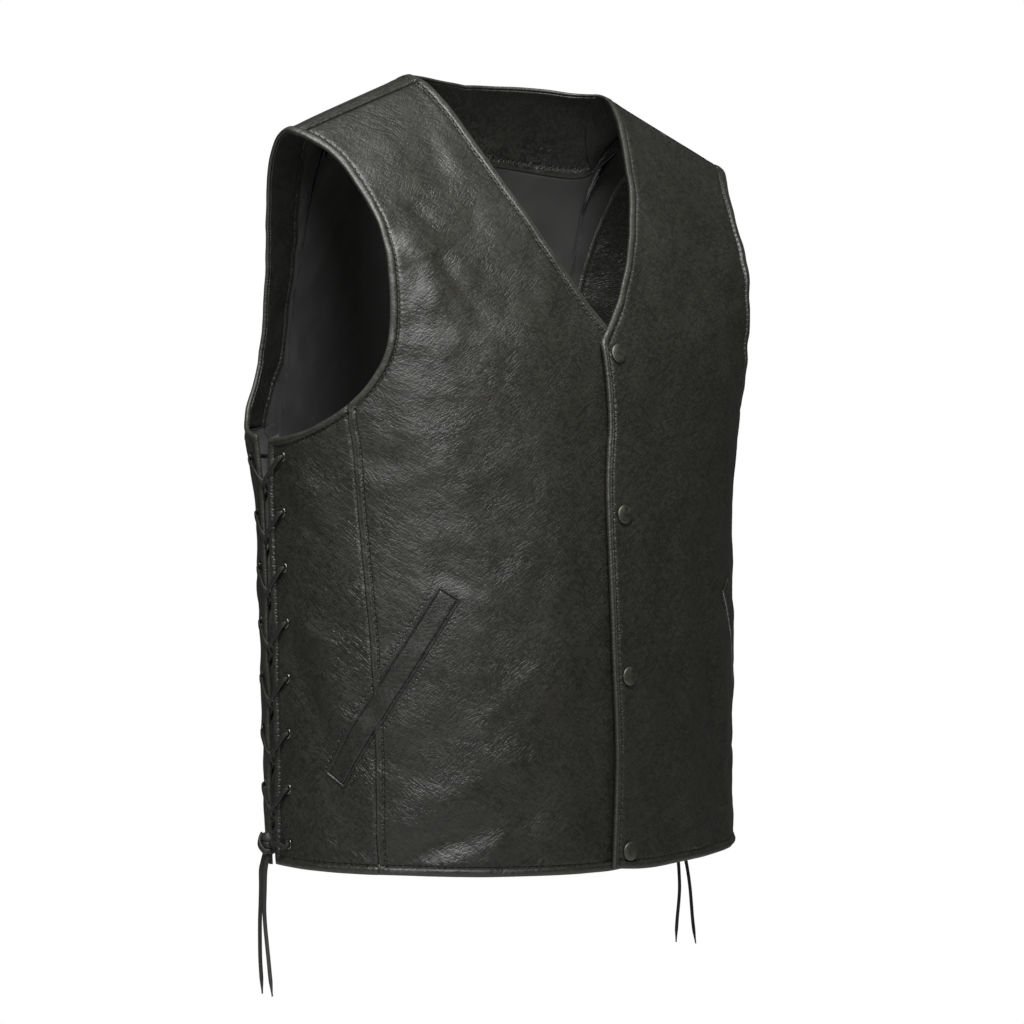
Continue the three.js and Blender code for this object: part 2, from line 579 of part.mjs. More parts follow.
const hide = new THREE.MeshStandardMaterial({ color: 0x1d1c1a, roughness: 0.52, metalness: 0 });
const twill = new THREE.MeshStandardMaterial({ color: 0x17171a, roughness: 0.9, metalness: 0 });
const gunmetal = new THREE.MeshStandardMaterial({ color: 0x3a3936, roughness: 0.35, metalness: 1 });
const thong = new THREE.MeshStandardMaterial({ color: 0x141312, roughness: 0.5, metalness: 0 });

const vest = new THREE.Group();
function add(name, geometry, material) {
  const mesh = new THREE.Mesh(geometry, material);
  mesh.name = name;
  vest.add(mesh);
}
const panelNamed = (...names) => vest.children.filter((mesh) => names.includes(mesh.name));

// Eyelets sit on the middle line of each lacing margin. margin is -1 in front of the gap, 1 behind it.
const GAP_MIDDLE = LACING_EDGE + LACING_GAP / 2;
const EYELET_REACH = EYELET_INSET + LACING_GAP / 2;
const eyeletUp = (row) => EYELET_TOP - EYELET_PITCH * row;
const rowsOfEyelets = Array.from({ length: EYELET_COUNT }, (_, row) => row);
function holeCutters(side, margin) {
  return rowsOfEyelets.map((row) => {
    const hole = turnedShape([[0, -4], [EYELET.hole, -4], [EYELET.hole, 8], [0, 8]], HOLE_SIDES);
    return toSolid(standOn(hole, side, GAP_MIDDLE + margin * EYELET_REACH, eyeletUp(row), 0));
  });
}
function punched(geometry, cutters) {
  return fromSolid(cutters.reduce((solid, cutter) => solid.subtract(cutter), toSolid(geometry)));
}
function eyelet(panels, side, margin, row) {
  const { bore, neck, flange, rise, sides } = EYELET;
  const across = GAP_MIDDLE + margin * EYELET_REACH;
  const base = seatDepth(panels, side, across, eyeletUp(row), flange) + GAP;
  const profile = [
    [bore, base - LEATHER], [neck, base], [flange, base], [flange - 0.6, base + rise],
    [bore + 0.4, base + rise + 0.1], [bore, base - LEATHER],
  ];
  return standOn(turnedShape(profile, sides), side, across, eyeletUp(row), 0);
}

// The lace's way from one eyelet to the next, lower one on the other side of the gap.
//   near     share of the way out from the gap's middle, on the side that it leaves
//   drop     share of the pitch that it has come down
//   over, under    its depth on the strand that crosses on top, and on the one below
const LACE_STEPS = [
  { near: 1, drop: 0, over: -0.8, under: -0.8 },
  { near: 1, drop: 0, over: 3.5, under: 3.5 },
  { near: 0.9, drop: 0.04, over: 5.4, under: 5.4 },
  { near: 0.6, drop: 0.2, over: 4.8, under: 4.8 },
  { near: 0.24, drop: 0.37, over: 4.6, under: 5.0 },
  { near: 0.11, drop: 0.45, over: 4.0, under: 2.6 },
  { near: -0.03, drop: 0.52, over: 1.9, under: -1.5 },
  { near: -0.2, drop: 0.62, over: -2.9, under: -2.9 },
  { near: -0.6, drop: 0.81, over: -3.0, under: -3.0 },
  { near: -0.93, drop: 0.97, over: -3.4, under: -3.4 },
];
// From the lowest eyelet the lace runs across to the knot.
const LACE_TO_KNOT = [
  ...LACE_STEPS.slice(0, 3),
  { near: 0.65, drop: 0.02, over: 5.4, under: 5.4 },
  { near: 0.216, drop: 0.03, over: 7.4, under: 7.4 },
];
function laceStrand(side, startMargin) {
  const way = [];
  for (let row = 0; row < EYELET_COUNT; row += 1) {
    const margin = startMargin * (row % 2 === 0 ? 1 : -1);
    const depth = margin < 0 ? 'over' : 'under';
    const steps = row < EYELET_COUNT - 1 ? LACE_STEPS : LACE_TO_KNOT;
    for (const step of steps) {
      const across = GAP_MIDDLE + margin * EYELET_REACH * step.near;
      way.push(clothPoint(side, across, eyeletUp(row) - EYELET_PITCH * step.drop, step[depth]));
    }
  }
  return way;
}
const LACE_BAR_DEPTH = -3.8;
// A thong of a few flat sides along a line of points, its section carried on without twisting.
function thongBody(way, radius, sides) {
  const points = [];
  const triangles = [];
  let across = new THREE.Vector3(0, 0, 1);
  way.forEach((point, i) => {
    const before = way[Math.max(i - 1, 0)];
    const after = way[Math.min(i + 1, way.length - 1)];
    const ahead = after.clone().sub(before).normalize();
    across = across.clone().addScaledVector(ahead, -across.dot(ahead)).normalize();
    const up = ahead.clone().cross(across);
    for (let k = 0; k < sides; k += 1) {
      const angle = (2 * Math.PI * k) / sides;
      const corner = point.clone().addScaledVector(across, radius * Math.cos(angle));
      points.push(corner.addScaledVector(up, radius * Math.sin(angle)));
    }
  });
  for (let i = 0; i < way.length - 1; i += 1) {
    for (let k = 0; k < sides; k += 1) {
      const [a, b] = [i * sides + k, i * sides + ((k + 1) % sides)];
      triangles.push([a, b, b + sides], [a, b + sides, a + sides]);
    }
  }
  const end = (way.length - 1) * sides;
  for (let k = 1; k < sides - 1; k += 1) {
    triangles.push([0, k + 1, k], [end, end + k, end + k + 1]);
  }
  return closedBody(points, triangles);
}
const KNOT = { out: 9.6, across: 6.2, high: 8.6, deep: 5.6 };
function knotMiddle(side) {
  return clothPoint(side, GAP_MIDDLE, KNOT_UP, KNOT.out);
}
function knotBody(side) {
  const ball = merged(new THREE.SphereGeometry(1, 10, 8)).scale(KNOT.deep, KNOT.across, KNOT.high);
  const out = normalAt(side * GAP_MIDDLE, KNOT_UP);
  ball.rotateZ(Math.atan2(out.y, out.x));
  const middle = knotMiddle(side);
  return ball.translate(middle.x, middle.y, middle.z);
}
// A free end: a tube of eight sides along the points that TAILS lists.
function tailBody(side, steps) {
  const middle = knotMiddle(side);
  const offsets = steps.map(([out, fore, down]) => new THREE.Vector3(side * out, -fore, -down));
  const way = offsets.map((offset) => offset.add(middle));
  const curve = new THREE.CatmullRomCurve3(way, false, 'centripetal');
  const corners = Array.from({ length: TAIL_SIDES }, (_, k) => {
    const angle = (2 * Math.PI * k) / TAIL_SIDES;
    return new THREE.Vector2(LACE_RADIUS * Math.cos(angle), LACE_RADIUS * Math.sin(angle));
  });
  const count = Math.round(curve.getLength() / (5 * LACE_RADIUS));
  return merged(new THREE.ExtrudeGeometry(new THREE.Shape(corners), { steps: count, extrudePath: curve }));
}

// A welt is a slanted strip that lies on the front and the side panel, over the pocket's mouth.
// It clears the highest face within reach of each of its points, and its rim rounds off.
const WELT_CLEAR = 0.7;
const WELT_REACH = 7;
const WELT_CELLS = 9;
const WELT_RIM = { wide: 1.4, drop: 0.6 };
function weltBody(panels, side) {
  const { top, foot, width, thick } = WELT;
  const run = [foot[0] - top[0], foot[1] - top[1]];
  const length = Math.hypot(...run);
  const sideways = [-run[1] / length, run[0] / length];
  const ends = [0, WELT_RIM.wide / length, 1 - WELT_RIM.wide / length, 1];
  const alongStops = [...ends.slice(0, 2), ...between(ends[1], ends[2], WELT_CELLS), ...ends.slice(2)];
  const acrossStops = [-0.5, -0.4, 0, 0.4, 0.5].map((share) => share * width);
  const grid = alongStops.map((v) => acrossStops.map((off) => [
    top[0] + run[0] * v + sideways[0] * off, top[1] + run[1] * v + sideways[1] * off,
  ]));
  const points = [];
  [0, thick].forEach((height, layer) => grid.forEach((row, i) => row.forEach(([across, up], j) => {
    const rim = i === 0 || j === 0 || i === grid.length - 1 || j === row.length - 1;
    const base = seatDepth(panels, side, across, up, WELT_REACH) + WELT_CLEAR;
    points.push(clothPoint(side, across, up, base + height - (layer && rim ? WELT_RIM.drop : 0)));
  })));
  const [rows, columns] = [grid.length, acrossStops.length];
  const at = (layer, i, j) => (layer * rows + i) * columns + j;
  const triangles = [];
  const quad = (a, b, c, d) => triangles.push([a, b, c], [a, c, d]);
  for (let i = 0; i < rows - 1; i += 1) {
    for (let j = 0; j < columns - 1; j += 1) {
      quad(at(1, i, j), at(1, i, j + 1), at(1, i + 1, j + 1), at(1, i + 1, j));
      triangles.push([at(0, i, j), at(0, i + 1, j + 1), at(0, i, j + 1)]);
      triangles.push([at(0, i, j), at(0, i + 1, j), at(0, i + 1, j + 1)]);
    }
    quad(at(1, i + 1, 0), at(0, i + 1, 0), at(0, i, 0), at(1, i, 0));
    const last = columns - 1;
    quad(at(1, i, last), at(0, i, last), at(0, i + 1, last), at(1, i + 1, last));
  }
  for (let j = 0; j < columns - 1; j += 1) {
    quad(at(1, 0, j), at(0, 0, j), at(0, 0, j + 1), at(1, 0, j + 1));
    quad(at(1, rows - 1, j + 1), at(0, rows - 1, j + 1), at(0, rows - 1, j), at(1, rows - 1, j));
  }
  return closedBody(points, triangles);
}

const front = frontPattern();
const back = backPattern();
const under = { facing: -GAP - FACING, lining: -2 * GAP - LINING };

for (const { name, sign } of SIDES) {
  const cloth = { side: sign, grid: front.grid };
  const outer = { ...cloth, depth: 0, thick: LEATHER, turned: true };
  add(`front_${name}`, clothPiece({ ...outer, keep: (i, j) => j < front.seamColumn }), hide);
  const sidePiece = clothPiece({ ...outer, keep: (i, j) => j >= front.seamColumn });
  add(`side_${name}`, punched(sidePiece, holeCutters(sign, -1)), hide);
  const facingKeep = (i, j) => i >= 1 && j >= 1 && j < front.facingColumn;
  const facing = { ...cloth, depth: under.facing, thick: FACING };
  add(`facing_front_${name}`, clothPiece({ ...facing, keep: facingKeep }), hide);
  const liningEnd = front.seamColumn + SIDE_CELLS;
  const liningKeep = (i, j) => {
    const isUpper = i >= front.lowerRows;
    const last = isUpper ? front.seamColumn - 1 : liningEnd;
    const topRow = j >= front.seamColumn ? front.lowerRows - 1 : front.grid.length;
    return i >= TURNED_END && i < topRow && j >= front.facingColumn && j < last;
  };
  const lining = { ...cloth, depth: under.lining, thick: LINING };
  add(`lining_front_${name}`, clothPiece({ ...lining, keep: liningKeep }), twill);
}

const columnOut = (j) => (j < back.middle ? back.middle - 1 - j : j - back.middle);
const neckColumns = NECK_COLUMNS.length;
const neckRow = back.grid.length - 1 - (TURNED_STOPS.length + 1);
const backCloth = { side: 0, grid: back.grid, flipFrom: back.middle };
const backHide = clothPiece({ ...backCloth, keep: () => true, depth: 0, thick: LEATHER, turned: true });
add('back', punched(backHide, SIDES.flatMap(({ sign }) => holeCutters(sign, 1))), hide);
const isNeckFacing = (i, j) => i >= neckRow && columnOut(j) < neckColumns;
const neckKeep = (i, j) => isNeckFacing(i, j) && i < back.grid.length - 2;
add('facing_neck', clothPiece({ ...backCloth, keep: neckKeep, depth: under.facing, thick: FACING }), hide);
// Below the armholes the lining reaches out to the lacing margin, as the front's does.
const liningColumns = (i) => neckColumns + (i < BACK_CORNER_ROW ? 1 : 0);
const liningKeep = (i, j) => i >= TURNED_END && columnOut(j) < liningColumns(i) && !isNeckFacing(i, j);
add('lining_back', clothPiece({ ...backCloth, keep: liningKeep, depth: under.lining, thick: LINING }), twill);
for (const { name, sign } of SIDES) {
  const keep = (i, j) => i >= BACK_CORNER_ROW && columnOut(j) >= neckColumns
    && columnOut(j) < back.middle - 1 && (sign > 0) === (j >= back.middle);
  add(`facing_armhole_${name}`, clothPiece({ ...backCloth, keep, depth: under.facing, thick: FACING }), hide);
}

SNAP.ups.forEach((up, i) => {
  const { radius, dome } = SNAP;
  const shoulder = [[radius, 0.9], [radius - 0.8, 2], [radius * 0.55, dome - 0.5]];
  const profile = [[0, 0], [radius, 0], ...shoulder, [0, dome]];
  const seat = seatDepth(panelNamed('front_left'), 1, SNAP.across, up, radius);
  add(`snap_${i + 1}`, standOn(turnedShape(profile, 14), 1, SNAP.across, up, seat + GAP), gunmetal);
});

for (const { name, sign } of SIDES) {
  const frontPanels = panelNamed(`front_${name}`, `side_${name}`);
  const panels = [...frontPanels, ...panelNamed('back')];
  add(`pocket_welt_${name}`, weltBody(frontPanels, sign), hide);
  for (const row of rowsOfEyelets) {
    add(`eyelet_${name}_front_${row + 1}`, eyelet(panels, sign, -1, row), gunmetal);
    add(`eyelet_${name}_back_${row + 1}`, eyelet(panels, sign, 1, row), gunmetal);
  }
  const barStops = [0.93, 0, -0.93].map((share) => GAP_MIDDLE + share * EYELET_REACH);
  const bar = barStops.map((across) => clothPoint(sign, across, EYELET_TOP, LACE_BAR_DEPTH));
  const way = [...laceStrand(sign, 1).reverse(), ...bar, ...laceStrand(sign, -1)];
  add(`lace_${name}`, thongBody(way, LACE_RADIUS, 4), thong);
  add(`lace_knot_${name}`, knotBody(sign), thong);
  TAILS[name].forEach((steps, i) => {
    add(`lace_tail_${name}_${i + 1}`, tailBody(sign, steps), thong);
  });
}

export default vest;
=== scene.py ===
# %% [markdown]
# # A leather vest with laced sides
# The vest is black cowhide: two fronts that close with snaps, two side panels, and a back. Thongs
# lace the side panels to the back. It hangs hollow, as it does on a wearer, with twill lining and
# leather facings inside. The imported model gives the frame, and every piece here is a finer skin
# over one of its solids. Lengths are in millimetres until a mesh is made.

# %% Load the frame
import math

import bpy
import numpy as np
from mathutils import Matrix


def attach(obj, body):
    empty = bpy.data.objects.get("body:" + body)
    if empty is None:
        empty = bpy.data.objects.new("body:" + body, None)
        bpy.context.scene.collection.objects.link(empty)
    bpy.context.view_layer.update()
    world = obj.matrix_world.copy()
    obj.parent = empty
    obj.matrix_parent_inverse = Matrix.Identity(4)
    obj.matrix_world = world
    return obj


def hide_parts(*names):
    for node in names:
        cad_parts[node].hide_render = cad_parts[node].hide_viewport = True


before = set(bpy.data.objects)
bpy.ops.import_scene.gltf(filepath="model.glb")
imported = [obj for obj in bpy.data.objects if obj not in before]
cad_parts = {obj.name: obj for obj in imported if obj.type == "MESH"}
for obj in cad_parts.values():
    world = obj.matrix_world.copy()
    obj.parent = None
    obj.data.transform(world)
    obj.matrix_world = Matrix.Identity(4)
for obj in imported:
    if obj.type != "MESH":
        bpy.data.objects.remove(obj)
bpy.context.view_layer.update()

MM = 0.001

# %% [markdown]
# ## Camera
# The photograph looks level at the middle of the vest, from the wearer's right front. A long lens,
# about 108 mm on a full frame, keeps the near shoulder from growing. The picture's centre isn't the
# vest's axis, and a small shift of the sensor puts it right without turning the camera.

# %% Camera
VIEW_TURN = math.radians(40)
VIEW_DISTANCE = 2.55
VIEW_HEIGHT = -0.301
LENS_PIXELS = 3060
PICTURE = 1024
AXIS_PIXEL = (504, 478)

camera_data = bpy.data.cameras.new("camera")
camera_data.sensor_width = 36
camera_data.lens = 36 * LENS_PIXELS / PICTURE
camera_data.shift_x = (PICTURE / 2 - AXIS_PIXEL[0]) / PICTURE
camera_data.shift_y = (AXIS_PIXEL[1] - PICTURE / 2) / PICTURE
camera = bpy.data.objects.new("camera", camera_data)
camera.location = (
    -VIEW_DISTANCE * math.sin(VIEW_TURN),
    -VIEW_DISTANCE * math.cos(VIEW_TURN),
    VIEW_HEIGHT,
)
camera.rotation_euler = (math.pi / 2, 0, -VIEW_TURN)
bpy.context.scene.collection.objects.link(camera)
bpy.context.scene.camera = camera
print("lens", round(camera_data.lens, 1), "mm")

# %% [markdown]
# ## The pattern and the figure
# A tailor cuts flat pieces and the body rounds them. Here a place on the pattern has two tape
# measures: `across`, from the centre front or centre back round the body, and `up`, from the
# underarm line up the front, over the shoulder and down the back. The figure is a stack of
# superellipses, and a table of evenly spaced tape along each makes it quick to look a place up.
# The tables are the model's own driving sizes, so skin and solid share one shape.

# %% Sizes
LEATHER, FACING, LINING, GAP = 1.4, 1.2, 1.0, 0.3
UNDERARM_Z = -270
RIDGE = 312
SHOULDER_SEAM = 296.5
HEM = -341
V_FOOT = 74
LAP_LIFT = 2.5
LACING_EDGE, LACING_GAP = 320, 12
EYELET_INSET, EYELET_TOP, EYELET_PITCH, EYELET_COUNT = 20, -14, 43.8, 8
FACING_WIDTH = 52
NECK_FACING_DEPTH = 50
NECK_POINT = (101, 25.5)
SHOULDER_POINT = (228, -28, -13)
# up, rise, half width, front depth, back depth, front power, back power
FIGURE = np.array([
    (-341, 0.00, 212, 148, 139, 2.20, 2.3),
    (-188, 0.00, 214, 147, 148, 2.15, 2.3),
    (-60, 0.00, 218, 141, 151, 2.15, 2.3),
    (0, 0.00, 221, 138, 149, 2.30, 2.3),
    (64, 0.21, 223, 134, 140, 2.50, 2.2),
    (110, 0.35, 227, 121, 127, 2.95, 2.2),
    (152, 0.48, 232, 106, 114, 3.60, 2.2),
    (196, 0.62, 238, 86, 102, 5.00, 2.2),
    (240, 0.77, 245, 60, 86, 5.60, 2.2),
    (275, 0.91, 249, 33, 63, 6.00, 2.2),
    (296, 0.98, 251, 13, 31, 6.00, 2.3),
    (312, 1.00, 252, 0, 0, 6.00, 2.5),
    (328, 0.98, 251, -13, -31, 6.00, 2.3),
])
# up and across of the centre front edge, and of the seam between front and side panel
LINES_FOOT = -343
PLACKET = [
    (LINES_FOOT, -15), (-283, -12), (-250, -11), (-161, -14), (-45, -14.5), (25, -9.5), (V_FOOT, -13.2),
]
SIDE_SEAM = [
    (LINES_FOOT, 209), (-322, 211), (-236, 212.6), (-170, 215.2), (-111, 219.4), (-40, 224.5), (38, 232.2),
]
# across and up of the hem, the neckline and the armhole
HEMLINE = [(-16, -340.5), (20, -343), (114, -341), (209, -338.5), (320, -338.5)]
NECKLINE = [
    (-13.2, 74), (6, 98), (20.5, 119), (44, 159), (63.5, 200), (80, 242), (92, 272), (101, 298),
    (101.5, 312), (92, 321), (76, 327), (58, 332), (30, 337), (0, 339.5),
]
ARMHOLE = [
    (320, 5), (300, 7.4), (274, 16), (253.5, 25.4), (234, 36.5), (219, 49), (209, 63.5), (202, 82),
    (197.6, 107), (195.8, 137), (195.3, 169), (196.2, 196), (198.6, 218), (202, 238), (208, 257),
    (217, 275), (227, 291), (231, 303), (231.5, 315), (229, 332), (225, 352), (218, 386),
    (211, 434), (207.5, 484), (208, 529), (213, 560), (224, 584), (242, 603), (262, 612),
]
# Folds: side (1 wearer's left, -1 right, 0 back), from, to, width, height
FOLDS = [
    (-1, (208, -305), (110, -252), 17, 5.0), (-1, (110, -252), (62, -190), 20, 3.0),
    (-1, (190, -326), (95, -296), 12, -4.5), (-1, (165, -330), (118, -318), 9, 3.0),
    (-1, (286, -170), (232, -300), 13, -3.6), (-1, (262, -150), (228, -225), 11, 2.2),
    (-1, (292, -40), (262, -42), 12, 2.6), (-1, (252, -28), (238, -32), 10, -2.2),
    (-1, (150, 205), (96, 118), 20, -3.4), (-1, (176, 176), (158, 118), 18, 3.2),
    (-1, (170, -104), (150, -96), 14, -2.6), (-1, (185, 20), (150, -40), 24, 2.6),
    (1, (70, -40), (82, -250), 15, 3.0), (1, (104, -90), (112, -300), 12, -3.0),
    (1, (140, -150), (150, -320), 15, 3.2), (1, (150, 205), (96, 118), 20, -3.0),
    (1, (176, 176), (158, 118), 18, 2.8), (1, (26, -196), (74, -168), 8, 1.8),
    (1, (24, -68), (66, -52), 8, 1.6), (1, (286, -170), (232, -300), 13, -3.4),
    (1, (292, -40), (262, -42), 12, 2.4), (0, (-120, 820), (-60, 930), 17, 4.0),
    (0, (105, 800), (70, 925), 18, 4.0), (0, (-30, 850), (8, 940), 15, -3.4),
    (0, (-150, 560), (-60, 640), 20, -3.4), (0, (146, 548), (66, 652), 20, -3.2),
    (0, (-172, 500), (-128, 470), 16, 3.0), (0, (168, 506), (130, 468), 16, 3.0),
]
# The skin takes most of each fold's height, and the small creases below add the rest.
FOLD_SHARE = 0.6
CORNER_FLARE = {"height": 8, "from": (314, 346), "to": (370, 440), "up": 14, "spread": 42}


# %% Curves through a few places
def smooth(low, high, x):
    """A soft step: 0 below low, 1 above high, and 3t^2 - 2t^3 between them."""
    t = np.clip((x - low) / (high - low), 0, 1)
    return t * t * (3 - 2 * t)


def bell(off, wide):
    """exp(-(off/wide)^2): 1 at the middle, and nearly 0 at twice the width."""
    return np.exp(-((off / wide) ** 2))


def half_round(off, radius):
    """A half circle over the middle, scaled to a height of 1: (1 - (off/radius)^2)^(1/2)."""
    return np.sqrt(np.clip(1 - (off / radius) ** 2, 0, 1))


def curve_through(xs, ys):
    """A monotone cubic through the points. Each slope is the weighted harmonic mean of its
    neighbours' slopes, or 0 at a turn, so the curve never swings past its points."""
    xs, ys = np.array(xs, float), np.array(ys, float)
    step = np.diff(xs)
    rise = np.diff(ys) / step
    ahead, behind = 2 * step[1:] + step[:-1], step[1:] + 2 * step[:-1]
    same_way = rise[:-1] * rise[1:] > 0
    safe = [np.where(same_way, r, 1) for r in (rise[:-1], rise[1:])]
    inner = np.where(same_way, (ahead + behind) / (ahead / safe[0] + behind / safe[1]), 0)
    slope = np.concatenate([rise[:1], inner, rise[-1:]])

    def at(x):
        x = np.clip(x, xs[0], xs[-1])
        i = np.clip(np.searchsorted(xs, x) - 1, 0, len(xs) - 2)
        h, u = step[i], (x - xs[i]) / step[i]
        bend = (u**3 - 2 * u * u + u) * h * slope[i] + (u**3 - u * u) * h * slope[i + 1]
        return (2 * u**3 - 3 * u * u + 1) * ys[i] + (3 * u * u - 2 * u**3) * ys[i + 1] + bend

    return at


def line_of(across, up):
    return np.stack(np.broadcast_arrays(np.asarray(across, float), np.asarray(up, float)), -1)


def tape_along(line):
    """Length of a line of points, up to each of them."""
    return np.concatenate([[0], np.cumsum(np.linalg.norm(np.diff(line, axis=0), axis=-1))])


def rounded(places, samples):
    """A Catmull-Rom line through given places, in the plane or in space."""
    p = np.array(places, float)
    p = np.vstack([2 * p[0] - p[1], p, 2 * p[-1] - p[-2]])
    t = np.linspace(0, len(places) - 1, samples)
    i = np.minimum(t.astype(int), len(places) - 2)
    u = (t - i)[:, None]
    a, b, c, d = (p[i + k] for k in range(4))
    square, cube = 2 * a - 5 * b + 4 * c - d, 3 * b - a - 3 * c + d
    return 0.5 * (2 * b + (c - a) * u + square * u**2 + cube * u**3)


def evenly(line, run, count):
    """Points at even steps of the tape along a line. Every column is carried along."""
    even = np.linspace(0, run[-1], count)
    return np.stack([np.interp(even, run, column) for column in line.T], -1)


def drawn_line(places, count=200):
    """A line on the pattern through given places (across, up)."""
    line = rounded(places, 4000)
    return evenly(line, tape_along(line), count)


placket_at = curve_through(*zip(*PLACKET))
seam_at = curve_through(*zip(*SIDE_SEAM))
hem_at = curve_through(*zip(*HEMLINE))
neck_line = drawn_line(NECKLINE)
armhole_line = drawn_line(ARMHOLE, 260)
placket_ups = np.linspace(LINES_FOOT, V_FOOT, 80)
placket_line = line_of(placket_at(placket_ups), placket_ups)
print("neckline", len(neck_line), "places, armhole", len(armhole_line), "places")


# %% The figure
LEVELS = np.arange(-346, 331, 2.0)
TAPE_SAMPLES = 721
level = {
    key: curve_through(FIGURE[:, 0], FIGURE[:, column])
    for column, key in enumerate(["rise", "half", "front", "back", "front_power", "back_power"], 1)
}


def half_rounds(ups):
    """Half of a superellipse at each level, from the centre front to the centre back:
    x = half sin(a)^(2/p), y = -depth cos(a)^(2/p), read off again at even steps of tape."""
    a = np.linspace(0, np.pi, 1441)
    is_front = a <= np.pi / 2
    up = ups[:, None]
    power = 2 / np.where(is_front, level["front_power"](up), level["back_power"](up))
    depth = np.where(is_front, level["front"](up), level["back"](up))
    x = level["half"](up) * np.abs(np.sin(a)) ** power
    y = -depth * np.sign(np.cos(a)) * np.abs(np.cos(a)) ** power
    stride = np.hypot(np.diff(x), np.diff(y))
    run = np.hstack([np.zeros((len(ups), 1)), np.cumsum(stride, axis=1)])
    share = np.linspace(0, 1, TAPE_SAMPLES)
    even = [[np.interp(share * r[-1], r, places) for places in (xs, ys)] for r, xs, ys in zip(run, x, y)]
    return np.array(even), run[:, -1]


ROUNDS, GIRTHS = half_rounds(LEVELS)


def half_girth(up):
    """Tape from the centre front to the centre back at a level."""
    return np.interp(up, LEVELS, GIRTHS)


def evened(up):
    """The height starts from rest just above the underarm line. Here the tape up to the next
    level is spaced by height instead, so that no pattern is squeezed together there."""
    front_up = np.where(up <= RIDGE, up, 2 * RIDGE - up)
    first_up, first_rise = FIGURE[4, :2]
    by_height = first_up * level["rise"](front_up) / first_rise
    even = np.where((front_up > 0) & (front_up < first_up), by_height, front_up)
    return np.where(up <= RIDGE, even, 2 * RIDGE - even)


EVEN_TABLE = np.arange(-400, 1010, 0.5)


def back_to_tape(even):
    """The other way round: the tape at an evened one."""
    return np.interp(even, evened(EVEN_TABLE), EVEN_TABLE)


def round_place(up, tape):
    """x and y of a place on a level's round, between the table's four nearest entries."""
    row = np.clip((up - LEVELS[0]) / 2, 0, len(LEVELS) - 1.001)
    column = tape / half_girth(up) * (TAPE_SAMPLES - 1)
    i = row.astype(int)
    j = np.clip(np.floor(column).astype(int), 0, TAPE_SAMPLES - 2)
    v, u = (row - i)[..., None], np.clip(column - j, -60, 60)[..., None]
    near = ROUNDS[i, :, j] * (1 - u) + ROUNDS[i, :, j + 1] * u
    far = ROUNDS[i + 1, :, j] * (1 - u) + ROUNDS[i + 1, :, j + 1] * u
    place = near * (1 - v) + far * v
    return place[..., 0], place[..., 1]


RIDGE_SLOPE = (NECK_POINT[1] - SHOULDER_POINT[1]) / (SHOULDER_POINT[0] - NECK_POINT[0])


def ridge_height(x):
    """Height of the shoulder's ridge: level at the neck, sloping, and drooping at its end."""
    out = np.abs(x)
    inside = np.maximum(NECK_POINT[0] - out, 0)
    droop = 0.0009 * np.maximum(out - 195, 0) ** 2
    sag = RIDGE_SLOPE / (2 * NECK_POINT[0]) * inside**2
    return NECK_POINT[1] - RIDGE_SLOPE * (out - NECK_POINT[0]) - sag - droop


def figure(across, up):
    """The figure's surface at pattern places. across is negative on the wearer's right."""
    is_front = up <= RIDGE
    along = np.where(is_front, up, 2 * RIDGE - up)
    tape = np.where(is_front, np.abs(across), half_girth(evened(along)) - np.abs(across))
    x, y = round_place(evened(along), tape)
    flare = CORNER_FLARE
    share = smooth(*flare["from"], tape) * (1 - smooth(*flare["to"], tape))
    stand_off = flare["height"] * share * bell(along - flare["up"], flare["spread"])
    grow = 1 + stand_off / np.hypot(x, 60)
    rise = level["rise"](along)
    y = y + SHOULDER_POINT[2] * rise * (x / SHOULDER_POINT[0]) ** 2
    z = UNDERARM_Z + np.minimum(along, 0) + rise * (ridge_height(x) - UNDERARM_Z)
    return np.stack([np.where(across < 0, -1, 1) * x * grow, y * grow, z], -1)


def unit(v):
    return v / np.maximum(np.linalg.norm(v, axis=-1, keepdims=True), 1e-9)


def normal_at(across, up, step=1.5):
    """Outward direction: the cross product of the surface's two tape directions."""
    across_way = figure(across + step, up) - figure(across - step, up)
    up_way = figure(across, up + step) - figure(across, up - step)
    return unit(np.cross(across_way, up_way))


def fold_height(side, across, up, folds):
    """Each fold is a ridge along a line, with a bell-shaped section."""
    height = np.zeros(np.broadcast(across, up).shape)
    for fold_side, start, end, wide, lift in folds:
        use = side == fold_side
        run = np.subtract(end, start)
        length = np.hypot(*run)
        at = (across - start[0], up - start[1])
        along = np.clip((at[0] * run[0] + at[1] * run[1]) / length, 0, length)
        off = np.hypot(at[0] - run[0] * along / length, at[1] - run[1] * along / length)
        height = height + np.where(use, lift * bell(off, wide), 0)
    return height


def cloth(side, across, up, depth=0.0, fine=0.0):
    """Places on a piece of cloth, in millimetres. depth 0 is the inner face of the outer hide.
    side is 1 or -1 for a piece on one side of the body, and 0 for one that runs across both.
    fine scales the small creases, which the solids leave out."""
    across, up = np.broadcast_arrays(np.asarray(across, float), np.asarray(up, float))
    signed = across if side == 0 else side * across
    is_back = up > RIDGE
    fold_side = np.where(is_back, 0, side if side else np.sign(across))
    fold_across = np.where(is_back, signed, np.abs(across) if side == 0 else across)
    fade = smooth(0, 40, np.abs(up - RIDGE))
    lift = depth + FOLD_SHARE * fold_height(fold_side, fold_across, evened(up), FOLDS) * fade
    if fine:
        lift = lift + fine * creases(fold_side, fold_across, evened(up))
    lap = side * LAP_LIFT * (1 - smooth(20, 62, across)) * (1 - smooth(120, 200, up))
    lift = lift + np.where(is_back, 0, lap)
    return figure(signed, up) + normal_at(signed, up) * lift[..., None]


print("half girth at the underarm", round(float(half_girth(0.0))), "mm")
